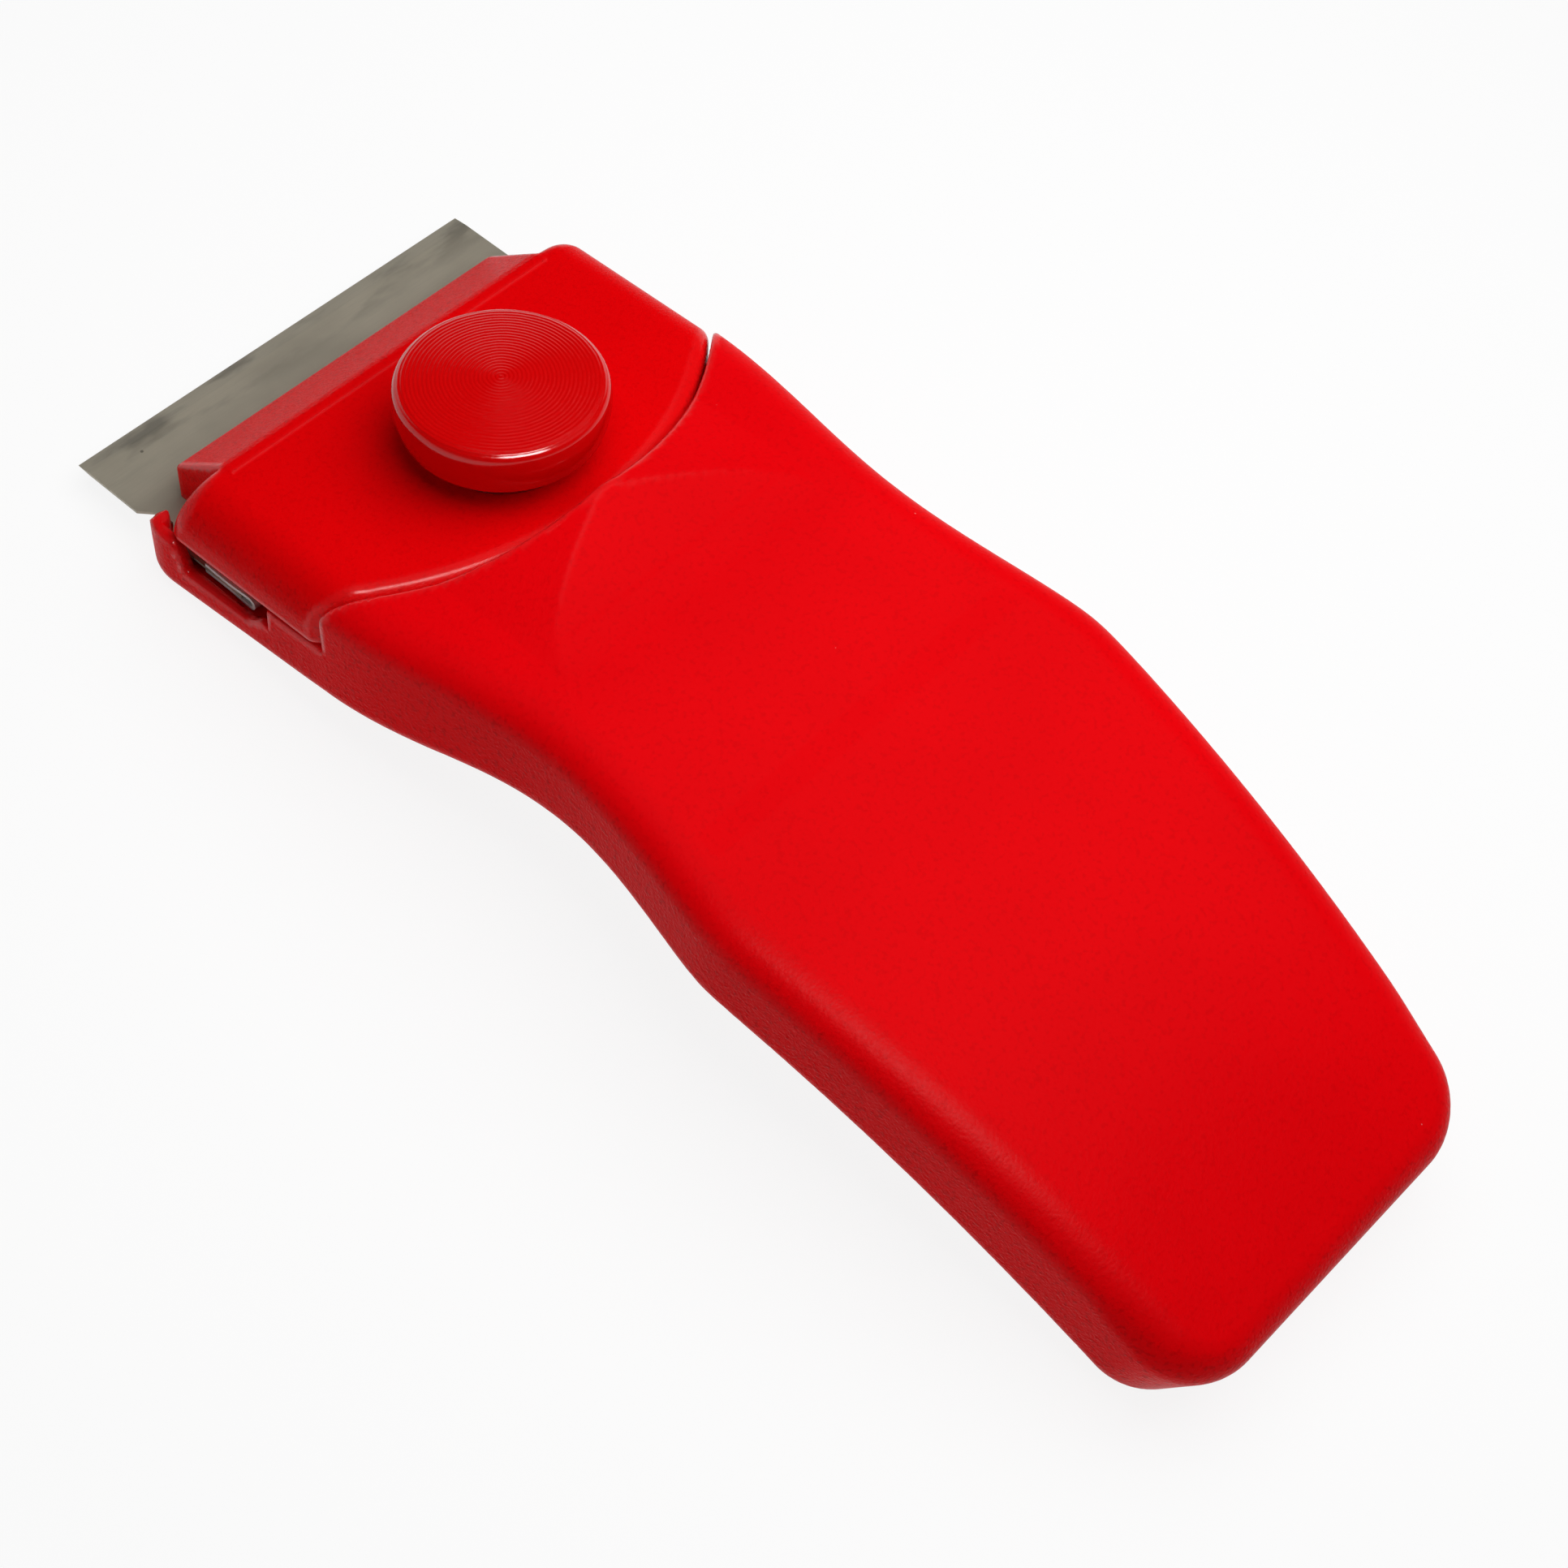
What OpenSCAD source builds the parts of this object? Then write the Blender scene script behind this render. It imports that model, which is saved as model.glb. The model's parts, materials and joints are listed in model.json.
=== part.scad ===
// Palm-sized razor blade scraper: an arched hollow plastic handle with a blade seat at its front,
// a clamp cap pulled down on the blade by a hand knob, and a standard single-edge blade.
// The head is drawn flat, with the cutting edge at y = 0 and the blade seat at z = 0.
// Everything is then tipped so that the tool lies on its front lip and its heel, as on a bench.

/* [Blade] */
// width of the blade along its cutting edge
blade_w = 38.1; // [37.5:0.1:38.6]
// depth from the cutting edge to the back of the spine
blade_d = 19.05; // [18.7:0.05:19.4]
// thickness of the blade strip
blade_t = 0.23; // [0.2:0.01:0.3]
// depth of the folded spine
spine_d = 5.25; // [4.5:0.05:6]
// thickness of the folded spine at its loop
spine_t = 1.0; // [0.9:0.02:1.04]
// depth of the side notches in the blade
notch_d = 1.15; // [0.8:0.05:1.5]

/* [Head] */
// how far the blade stands out in front of the seat
overhang = 7.2; // [6.6:0.1:7.8]
// radius of the front corners of the seat
seat_corner_r = 4.0; // [3.4:0.1:4.5]
// tilt of the blade seat against the flat handle top
blade_tilt = 2.4; // [2:0.1:3]
// depth of the side pocket below the blade
pocket_depth = 0.5; // [0.45:0.05:0.8]
// rear wall of the blade pocket
pocket_rear = 21.3; // [20.6:0.1:21.6]
// front wall of the handle shoulders
shoulder_y = 27.6; // [27.4:0.1:28.2]
// gap between the cap and the handle
cap_gap = 0.5; // [0.4:0.05:0.8]

/* [Handle] */
// half width at the seat
seat_half_w = 20.6; // [20.2:0.1:21]
// half width at the shoulders
shoulder_half_w = 20.0; // [19.8:0.05:20.3]
// half width at the waist
waist_half_w = 17.65; // [17:0.05:18.2]
// half width of the palm swell
swell_half_w = 20.6; // [20:0.1:21]
// half width at the heel
heel_half_w = 15.9; // [15.2:0.1:16.6]
// height of the handle top above the blade seat
top_z = 6.7; // [6.5:0.05:7]
// radius of the arch of the handle top
arch_r = 122; // [112:1:135]
// length along the top from the cutting edge to the heel
handle_len = 108.7; // [105:0.1:112]
// thickness at the head
head_h = 10.6; // [10.2:0.1:11]
// thickness at the middle of the arch
mid_h = 8.05; // [7.8:0.05:8.6]
// thickness at the heel
heel_h = 9.3; // [9:0.1:10]
// width of the rounding along the top edges
top_edge_w = 3.4; // [2.8:0.1:3.8]
// height of the rounding along the top edges
top_edge_h = 2.2; // [1.8:0.1:2.6]
// radius of the bottom edges
bottom_edge_r = 1.8; // [1.5:0.1:2.2]
// wall over the hollow
top_wall = 2.2; // [1.8:0.1:2.4]
// side wall beside the hollow
side_wall = 4.0; // [3.8:0.1:4.4]
// height of the crowned thumb stop
crown_h = 1.2; // [0.8:0.1:1.5]
// half width of the thumb stop
crown_half_w = 13.05; // [12:0.05:13.6]

/* [Cap] */
// half width of the cap
cap_half_w = 20.0; // [19.7:0.05:20.1]
// top of the cap above the blade seat
cap_top = 6.6; // [6.4:0.05:6.9]
// radius of the curved rear edge of the cap
cap_rear_r = 29.4; // [28:0.1:31]
// rearmost point of the cap
cap_rear_y = 34.2; // [33.8:0.1:34.4]
// radius of the side edges of the cap
cap_edge_r = 3.4; // [2.8:0.1:3.8]
// half width of the nose that presses on the blade
nose_half_w = 15.8; // [15:0.1:16.4]
// height of the nose front above the blade seat
nose_h = 2.9; // [2.4:0.1:3.4]
// where the nose slope meets the cap top
nose_top_y = 12.7; // [12.2:0.1:13.2]

/* [Knob] */
// distance of the knob axis from the cutting edge
knob_y = 25.0; // [24.7:0.1:25.4]
// radius of the knob
knob_r = 7.75; // [7.2:0.05:8.2]
// height of the knob disc
knob_h = 3.8; // [3.5:0.1:4.3]
// rise of the domed knob top
dome_h = 0.4; // [0.2:0.05:0.6]
// radius of the clamp stud
stud_r = 3.0; // [2.8:0.05:3.2]

/* [Hidden] */
$fn = 96;
// clearances
run_gap = 0.06;
seat_gap = 0.02;
clamp_gap = 0.04;
cover_gap = 0.15;
cover_seat_gap = 0.05;
over = 1;
// longer than any cut that it makes
reach = handle_len;

// blade and spine
sheet_t = 0.3;
bevel_d = 1.2;
strip_back = blade_d - 1.45;
loop_r = spine_t / 2;
loop_y = blade_d - loop_r;
blade_mid = blade_t / 2;
spine_front = blade_d - spine_d;
notch_front = 6.4;
notch_back = 10.4;
notch_slope = 1.35;

// levels and edges of the head
seat_front = overhang;
land_back = 12.6;
land_half_w = 16.6;
rear_ledge_z = 0.9;
// lugs of the seat that stand in the notches of the blade
lug_top = 1.6;
lug_gap = 0.15;
recess_r = cap_rear_r + cap_gap;
arc_y = cap_rear_y - cap_rear_r;
side_draft = 0.1;

// arch
bend_y = 36;
waist_s = 47.5;
rise_len = 24;
taper_s = 66;
swell_soft = 0.4;
heel_corner_r = 5.6;
heel_edge_r = 3.0;
front_edge_r = 2.2;
thin_from = 24;
mid_s = 56;
deg = 180 / PI;

function ease(a, b, t) = a + (b - a) * (1 - cos(180 * min(max(t, 0), 1))) / 2;
function mix(a, b, t) = a + (b - a) * t;

// half width of the handle before its corners are rounded, along the top length s
function swell_at(s) = waist_half_w + (swell_half_w - waist_half_w) * (1 - cos(180 * min((s - waist_s) / rise_len, 1))) / 2;
taper_w = swell_half_w - 0.65;
function taper_at(s) = mix(taper_w, heel_half_w, (s - taper_s) / (handle_len - taper_s));
function soft_min(a, b, k) = (a + b - sqrt((a - b) * (a - b) + k * k)) / 2;
function plain_half_w(s) =
    s < shoulder_y ? mix(seat_half_w, shoulder_half_w, (s - seat_front) / (shoulder_y - seat_front)) :
    s < waist_s ? ease(shoulder_half_w, waist_half_w, (s - shoulder_y) / (waist_s - shoulder_y)) :
    soft_min(swell_at(s), taper_at(s), swell_soft);
function corner(r, d) = d >= r ? 0 : r - sqrt(max(r * r - (r - d) * (r - d), 0));
function half_w(s) = plain_half_w(s) - corner(seat_corner_r, s - seat_front) - corner(heel_corner_r, handle_len - s);

// thickness of the handle along s
function thick(s) = s < mid_s ? ease(head_h, mid_h, (s - thin_from) / (mid_s - thin_from)) : ease(mid_h, heel_h, (s - mid_s) / (handle_len - mid_s));
function top_n(s) = -corner(heel_edge_r, handle_len - s);
function bottom_n(s) = -thick(s) + corner(bottom_edge_r, handle_len - s) + corner(front_edge_r, s - seat_front);

// a point u across, s along and n above the arched top
function lean(s) = s > bend_y ? (s - bend_y) / arch_r * deg : 0;
function bend(u, s, n) = [
    u,
    s > bend_y ? bend_y + (arch_r + n) * sin(lean(s)) : s,
    s > bend_y ? top_z - arch_r + (arch_r + n) * cos(lean(s)) : top_z + n
];

// one ring of the outer skin, from the bottom right up and over to the bottom left
function ring_right(w, nt, nb) =
    let (rt = top_edge_w, ht = min(top_edge_h, (nt - nb) * 0.5), rb = min(bottom_edge_r, (nt - nb) * 0.45))
    concat(
        [for (a = [-90:22.5:0]) [w - side_draft - rb + rb * cos(a), nb + rb + rb * sin(a)]],
        [for (a = [0:15:90]) [w - rt + rt * cos(a), nt - ht + ht * sin(a)]]
    );
function mirrored(p) = [for (i = [len(p) - 1:-1:0]) [-p[i][0], p[i][1]]];
function full_ring(w, nt, nb) = let (r = ring_right(w, nt, nb)) concat(r, mirrored(r));
function lift_ring(ring, s) = [for (p = ring) bend(p[0], s, p[1])];

// a solid skinned over rings of equal length
module skin(rings) {
    n = len(rings[0]);
    m = len(rings);
    points = [for (r = rings) for (p = r) p];
    sides = [for (i = [0:m - 2]) for (j = [0:n - 1]) let (k = (j + 1) % n)
        each [[i * n + j, i * n + k, (i + 1) * n + k], [i * n + j, (i + 1) * n + k, (i + 1) * n + j]]];
    first = [[for (j = [n - 1:-1:0]) j]];
    last = [[for (j = [0:n - 1]) (m - 1) * n + j]];
    polyhedron(points, concat(sides, first, last), convexity = 8);
}

front_steps = [for (t = [0, 0.025, 0.09, 0.2, 0.35, 0.55, 0.775, 1]) t * seat_corner_r];
heel_steps = [for (t = [1, 0.875, 0.715, 0.535, 0.375, 0.24, 0.135, 0.055, 0.015, 0]) t * heel_corner_r];
body_steps = concat(
    [for (d = front_steps) seat_front + d],
    [for (t = [0.3, 0.65, 1]) mix(seat_front + seat_corner_r, shoulder_y, t)],
    [for (t = [0.3, 0.6, 1]) mix(shoulder_y, bend_y, t)],
    [for (i = [1:22]) mix(bend_y, handle_len - heel_corner_r, i / 23)],
    [for (d = heel_steps) handle_len - d]
);

// the tool lies on its front lip and its heel
front_touch = bend(0, seat_front + front_edge_r, bottom_n(seat_front + front_edge_r));
heel_touch = bend(0, handle_len - bottom_edge_r, bottom_n(handle_len - bottom_edge_r));
rest_angle = atan2(front_touch[2] - heel_touch[2], heel_touch[1] - front_touch[1]);
foot_cut = 0.25;
function tipped_y(p) = p[1] * cos(rest_angle) - p[2] * sin(rest_angle);
function tipped_z(p) = p[1] * sin(rest_angle) + p[2] * cos(rest_angle);
floor_z = tipped_z(front_touch) + foot_cut;
edge_y = tipped_y([0, 0, blade_mid]);
heel_y = max([for (d = heel_steps) for (t = [0, 0.25, 0.5, 0.75, 1])
    tipped_y(bend(0, handle_len - d, mix(top_n(handle_len - d), bottom_n(handle_len - d), t)))]);
mid_y = (edge_y + heel_y) / 2;

module place() {
    translate([0, -mid_y, -floor_z]) rotate([rest_angle, 0, 0]) children();
}

// a station on the arched top, with z along the outward normal
module at_station(u, s) {
    translate(bend(u, s, 0)) rotate([-lean(s), 0, 0]) children();
}

// base cover and hollow
cover_t = 2.0;
rim_w = 2.9;
cover_from = bend_y + 0.5;
cover_to = handle_len - 6;
hollow_from = cover_from + 1.4;
hollow_to = cover_to - 1.4;
cover_steps = [for (i = [0:20]) mix(0, 1, i / 20)];
function block_ring(w, low, high, s) = [bend(w, s, low), bend(w, s, high), bend(-w, s, high), bend(-w, s, low)];
module cover_block(a, b, inset, below, above) {
    skin([for (t = cover_steps) let (s = mix(a, b, t))
        block_ring(half_w(s) - inset, -thick(s) - below, -thick(s) + above, s)]);
}
module hollow_block() {
    skin([for (t = cover_steps) let (s = mix(hollow_from, hollow_to, t))
        block_ring(half_w(s) - side_wall, -thick(s) - over, -top_wall, s)]);
}

// cover screws
screw_in_front = 6.5;
screw_in_rear = 6.2;
screw_front_x = 10.5;
screw_rear_x = 9.5;
screw_front_s = cover_from + screw_in_front;
screw_rear_s = cover_to - screw_in_rear;
screw_stations = [for (k = [1, -1]) [k * screw_front_x, screw_front_s], for (k = [1, -1]) [k * screw_rear_x, screw_rear_s]];
screw_r = 1.25;
screw_head_r = 2.5;
screw_head_h = 1.1;
screw_len = 5.0;
head_sink = 1.2;
boss_r = 3.2;
screw_slot = 0.7;

// threaded insert under the seat
insert_r = 4.6;
insert_flange_r = 5.7;
insert_flange_t = 0.9;
insert_top = -1.8;
boss_drop = 1.0;
insert_bottom = top_z - head_h - boss_drop;
insert_boss_r = 6.8;

// guide pins
pin_r = 1.25;
pin_x = 13.0;
pin_y = 25.0;
pin_deep = 2.6;
pin_up = 3.3;
pin_top = rear_ledge_z + pin_up;

// stack on the stud
washer_t = 0.8;
washer_r = 5.4;
hub_r = 4.6;
hub_h = 1.2;
knob_edge_r = 0.5;
knob_side_r = 5;
knob_low_r = 0.5;
cap_under = 1.9;
clip_t = 0.6;
clip_r = 4.6;
clip_gap = 0.1;
clip_room = 1.6;
groove_r = stud_r - 0.45;
stud_top = cap_top + washer_t + 3.6;
stud_low = insert_bottom + 0.4;
stud_tip = 0.6;
heel_pad_from = 29.2;
heel_pad_to = 31.6;
heel_pad_half_w = 11;
cap_corner_front = 10.2;
cap_corner_r = 2.0;
nose_front = seat_front + 0.1;
nose_back = land_back - 1.2;

// upper face of the clamped blade strip, with a little room over it
function strip_top(y) = (blade_t + clamp_gap) / cos(blade_tilt) - y * tan(blade_tilt);

function hub_z() = cap_top + washer_t;
function disc_z() = hub_z() + hub_h;

// raised thumb stop behind the cap: a crown across, cut by a hollow ramp from behind
stop_from = 30;
stop_sink = 1.2;
ramp_y = 45;
ramp_len = 8;
ramp_drop = 0.4;
module thumb_stop() {
    crown_r = (crown_half_w * crown_half_w + crown_h * crown_h) / (2 * crown_h);
    ramp_low = top_z - ramp_drop;
    ramp_rise = crown_h + ramp_drop;
    ramp_r = (ramp_len * ramp_len + ramp_rise * ramp_rise) / (2 * ramp_rise);
    difference() {
        intersection() {
            translate([0, 0, top_z + crown_h - crown_r]) rotate([-90, 0, 0]) cylinder(r = crown_r, h = reach, $fn = 180);
            translate([-crown_half_w - over, stop_from, top_z - stop_sink])
                cube([2 * (crown_half_w + over), ramp_y - stop_from, crown_h + 2 * stop_sink]);
        }
        translate([-reach, ramp_y, ramp_low + ramp_r]) rotate([0, 90, 0]) cylinder(r = ramp_r, h = 2 * reach, $fn = 180);
    }
}

// everything cut away at the head for the cap and the blade
module head_recess() {
    translate([0, 0, rear_ledge_z]) linear_extrude(reach) intersection() {
        union() {
            translate([0, arc_y]) circle(r = recess_r, $fn = 180);
            translate([-reach, 0]) square([2 * reach, shoulder_y]);
        }
        translate([-reach, pocket_rear - over]) square([2 * reach, reach]);
    }
    rotate([-blade_tilt, 0, 0]) difference() {
        union() {
            translate([-reach, 0, 0]) cube([2 * reach, pocket_rear, reach]);
            translate([-reach, 0, -pocket_depth]) cube([2 * reach, pocket_rear, 2 * pocket_depth]);
        }
        translate([-land_half_w, 0, -2 * pocket_depth]) cube([2 * land_half_w, land_back, 2 * pocket_depth]);
        for (k = [0, 1]) mirror([k, 0, 0]) blade_lug();
    }
}

// lug in a notch of the blade, drawn out past the side of the handle
module blade_lug() {
    translate([blade_w / 2 + lug_gap, 0, -lug_top]) linear_extrude(2 * lug_top) polygon([
        [reach, notch_front], [0, notch_front], [-notch_d, notch_front + notch_slope],
        [-notch_d, notch_back - notch_slope], [0, notch_back], [reach, notch_back]
    ]);
}

module handle_shell() {
    color("Red") place() difference() {
        union() {
            difference() {
                union() {
                    skin([for (s = body_steps) lift_ring(full_ring(half_w(s), top_n(s), bottom_n(s)), s)]);
                    thumb_stop();
                }
                head_recess();
                cover_block(cover_from, cover_to, rim_w, over, cover_t);
                hollow_block();
            }
            for (p = screw_stations) at_station(p[0], p[1])
                translate([0, 0, -thick(p[1]) + cover_t]) cylinder(r = boss_r, h = thick(p[1]) - cover_t - top_wall + 0.6);
            translate([0, knob_y, insert_bottom]) cylinder(r = insert_boss_r, h = boss_drop + 1);
        }
        for (p = screw_stations) at_station(p[0], p[1])
            translate([0, 0, -thick(p[1]) + cover_t - over]) cylinder(r = screw_r + seat_gap, h = head_sink + screw_len + seat_gap - cover_t + over);
        translate([0, knob_y, insert_bottom - over]) cylinder(r = insert_flange_r + seat_gap, h = insert_flange_t + over);
        translate([0, knob_y, insert_bottom]) cylinder(r = insert_r + seat_gap, h = insert_top - insert_bottom);
        translate([0, knob_y, insert_top - over]) cylinder(r = stud_r + 4 * run_gap, h = rear_ledge_z - insert_top + 2 * over);
        for (x = [-pin_x, pin_x]) translate([x, pin_y, rear_ledge_z - pin_deep]) cylinder(r = pin_r + seat_gap, h = pin_deep + over);
        rotate([-rest_angle, 0, 0]) translate([-reach, -reach, floor_z - reach]) cube([2 * reach, 3 * reach, reach]);
    }
}

module base_cover() {
    color("DarkRed") place() difference() {
        cover_block(cover_from + cover_gap, cover_to - cover_gap, rim_w + cover_gap, 0, cover_t - cover_seat_gap);
        for (p = screw_stations) at_station(p[0], p[1]) {
            translate([0, 0, -thick(p[1]) - over]) cylinder(r = screw_head_r + 0.2, h = head_sink + over);
            translate([0, 0, -thick(p[1])]) cylinder(r = screw_r + run_gap, h = cover_t + over);
        }
    }
}

module cover_screws() {
    color("Silver") place() for (p = screw_stations) at_station(p[0], p[1])
        translate([0, 0, -thick(p[1]) + head_sink]) difference() {
            union() {
                translate([0, 0, -screw_head_h]) cylinder(r = screw_head_r, h = screw_head_h);
                translate([0, 0, -0.3]) cylinder(r = screw_r, h = screw_len - 0.8 + 0.3);
                translate([0, 0, screw_len - 0.8]) cylinder(r1 = screw_r, r2 = 0.4, h = 0.5);
            }
            translate([-screw_head_r - 1, -screw_slot / 2, -screw_head_h - 1]) cube([2 * screw_head_r + 2, screw_slot, 1.5]);
        }
}

module thread_insert() {
    color("Goldenrod") place() translate([0, knob_y, 0]) difference() {
        union() {
            translate([0, 0, insert_bottom]) cylinder(r = insert_flange_r, h = insert_flange_t);
            translate([0, 0, insert_bottom]) cylinder(r = insert_r, h = insert_top - insert_bottom);
        }
        translate([0, 0, insert_bottom - over]) cylinder(r = stud_r + run_gap, h = 20);
    }
}

module guide_pins() {
    color("Silver") place() for (x = [-pin_x, pin_x]) translate([x, pin_y, rear_ledge_z - pin_deep]) {
        cylinder(r = pin_r, h = pin_deep + pin_up - 0.4);
        translate([0, 0, pin_deep + pin_up - 0.4]) cylinder(r1 = pin_r, r2 = pin_r - 0.4, h = 0.4);
    }
}

// cross section of the cap body with rounded top edges
module cap_section() {
    difference() {
        translate([-cap_half_w, cap_under]) square([2 * cap_half_w, cap_top - cap_under]);
        for (k = [-1, 1]) difference() {
            translate([k * (cap_half_w - cap_edge_r / 2 + 0.5), cap_top - cap_edge_r / 2 + 0.5]) square(cap_edge_r + 1, center = true);
            translate([k * (cap_half_w - cap_edge_r), cap_top - cap_edge_r]) circle(r = cap_edge_r);
        }
    }
}

// outline of the cap seen from above, with rounded front corners
module cap_plan() {
    translate([-cap_half_w, cap_corner_front + cap_corner_r]) square([2 * cap_half_w, 40]);
    translate([-cap_half_w + cap_corner_r, cap_corner_front - over]) square([2 * (cap_half_w - cap_corner_r), 40]);
    for (k = [-1, 1]) translate([k * (cap_half_w - cap_corner_r), cap_corner_front + cap_corner_r]) circle(r = cap_corner_r);
}

// rear of the cap: an arc with a rounded top edge
module cap_round() {
    edge = 1.2;
    translate([0, arc_y, 0]) rotate_extrude($fn = 180) {
        translate([0, -over]) square([cap_rear_r, cap_top - edge + over]);
        translate([0, cap_top - edge - 0.1]) square([cap_rear_r - edge, edge + 0.1]);
        translate([cap_rear_r - edge, cap_top - edge]) intersection() {
            circle(r = edge);
            square(edge);
        }
    }
}

module clamp_cap() {
    color("Crimson") place() difference() {
        union() {
            intersection() {
                translate([0, 60, 0]) rotate([90, 0, 0]) linear_extrude(60) cap_section();
                translate([0, 0, -over]) linear_extrude(12) cap_plan();
                cap_round();
                rotate([90, 0, 90]) linear_extrude(80, center = true) polygon([
                    [cap_corner_front, 0], [nose_top_y, cap_top], [nose_top_y, cap_top + 1], [60, cap_top + 1], [60, 0]
                ]);
            }
            rotate([90, 0, 90]) linear_extrude(2 * nose_half_w, center = true) polygon([
                [nose_front, strip_top(nose_front)], [nose_front, nose_h], [nose_top_y, cap_top],
                [nose_top_y + 1, cap_top], [nose_top_y + 1, cap_under + 0.2], [nose_back + 0.6, cap_under + 0.2],
                [nose_back, strip_top(nose_back)]
            ]);
            translate([-heel_pad_half_w, heel_pad_from, rear_ledge_z + seat_gap])
                cube([2 * heel_pad_half_w, heel_pad_to - heel_pad_from, cap_under - rear_ledge_z + 0.5]);
        }
        translate([0, knob_y, -over]) cylinder(r = stud_r + run_gap, h = cap_top + 2 * over);
        translate([0, knob_y, cap_under - over]) cylinder(r = clip_r + 0.4, h = clip_room + over);
        for (x = [-pin_x, pin_x]) translate([x, pin_y, cap_under - over]) cylinder(r = pin_r + run_gap, h = pin_top - cap_under + 0.5 + over);
    }
}

module knob_washer() {
    color("Silver") place() translate([0, knob_y, cap_top]) difference() {
        cylinder(r = washer_r, h = washer_t);
        translate([0, 0, -over]) cylinder(r = stud_r + run_gap, h = washer_t + 2 * over);
    }
}

// half section of the knob: a barrel-sided disc with a domed top on a short hub
module knob_section() {
    dome_r = (knob_r * knob_r + dome_h * dome_h) / (2 * dome_h);
    belly_z = disc_z() + 0.6 * knob_h;
    top_r = knob_r - knob_side_r + sqrt(pow(knob_side_r, 2) - pow(0.4 * knob_h - knob_edge_r, 2));
    low_r = knob_r - knob_side_r + sqrt(pow(knob_side_r, 2) - pow(0.6 * knob_h - knob_low_r, 2));
    edge_z = disc_z() + knob_h - knob_edge_r;
    translate([0, hub_z()]) square([hub_r, hub_h + 0.2]);
    intersection() {
        union() {
            translate([0, disc_z() + knob_low_r]) square([knob_r, knob_h - knob_low_r - knob_edge_r]);
            translate([0, disc_z()]) square([low_r - knob_low_r, knob_h]);
            translate([low_r - knob_low_r, disc_z() + knob_low_r]) circle(r = knob_low_r);
            translate([top_r - knob_edge_r, edge_z]) circle(r = knob_edge_r);
            translate([0, edge_z - 1]) square([top_r - knob_edge_r, knob_edge_r + dome_h + 1]);
        }
        union() {
            translate([knob_r - knob_side_r, belly_z]) circle(r = knob_side_r, $fn = 180);
            square([knob_r - knob_side_r, 40]);
        }
        translate([0, disc_z() + knob_h + dome_h - dome_r]) circle(r = dome_r, $fn = 360);
        square([knob_r + 1, 40]);
    }
}

module clamp_knob() {
    color("FireBrick") place() translate([0, knob_y, 0]) difference() {
        rotate_extrude() knob_section();
        translate([0, 0, hub_z() - over]) cylinder(r = stud_r + seat_gap, h = stud_top - hub_z() + over);
    }
}

module clamp_stud() {
    clip_low = cap_under + clip_room - clip_gap - clip_t;
    color("LightGray") place() translate([0, knob_y, 0]) difference() {
        union() {
            translate([0, 0, stud_low + stud_tip]) cylinder(r = stud_r, h = stud_top - stud_low - stud_tip);
            translate([0, 0, stud_low]) cylinder(r1 = stud_r - stud_tip, r2 = stud_r, h = stud_tip);
        }
        translate([0, 0, clip_low]) difference() {
            cylinder(r = stud_r + over, h = clip_t);
            translate([0, 0, -over]) cylinder(r = groove_r, h = clip_t + 2 * over);
        }
    }
}

module stud_clip() {
    clip_low = cap_under + clip_room - clip_gap - clip_t;
    color("DimGray") place() translate([0, knob_y, clip_low]) difference() {
        cylinder(r = clip_r, h = clip_t);
        translate([0, 0, -over]) cylinder(r = groove_r + seat_gap, h = clip_t + 2 * over);
        translate([-1.4, groove_r - 0.6, -over]) cube([2.8, clip_r, clip_t + 2 * over]);
    }
}

module razor_blade() {
    color("Gray") place() rotate([-blade_tilt, 0, 0]) difference() {
        rotate([90, 0, 90]) linear_extrude(blade_w, center = true)
            polygon([[0, blade_mid], [bevel_d, blade_t], [strip_back, blade_t], [strip_back, 0], [bevel_d, 0]]);
        for (k = [0, 1]) mirror([k, 0, 0]) translate([blade_w / 2, 0, -over]) linear_extrude(2 * over + blade_t)
            polygon([[over, notch_front - notch_slope], [0, notch_front], [-notch_d, notch_front + notch_slope],
                [-notch_d, notch_back - notch_slope], [0, notch_back], [over, notch_back + notch_slope]]);
    }
}

module blade_spine() {
    color("Gainsboro") place() rotate([-blade_tilt, 0, 0]) rotate([90, 0, 90]) linear_extrude(blade_w, center = true) difference() {
        union() {
            translate([spine_front, -sheet_t]) square([loop_y - spine_front, blade_t + 2 * sheet_t]);
            translate([loop_y, blade_mid]) circle(r = loop_r, $fn = 64);
        }
        translate([spine_front - over, 0]) square([loop_y - spine_front + over, blade_t]);
        translate([loop_y, blade_mid]) circle(r = loop_r - sheet_t, $fn = 64);
    }
}

handle_shell();
base_cover();
cover_screws();
thread_insert();
guide_pins();
clamp_cap();
knob_washer();
clamp_knob();
clamp_stud();
stud_clip();
razor_blade();
blade_spine();
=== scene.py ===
"""Razor blade scraper: moulded handle and cap, turned knob, clamped blade and a plain studio."""

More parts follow.
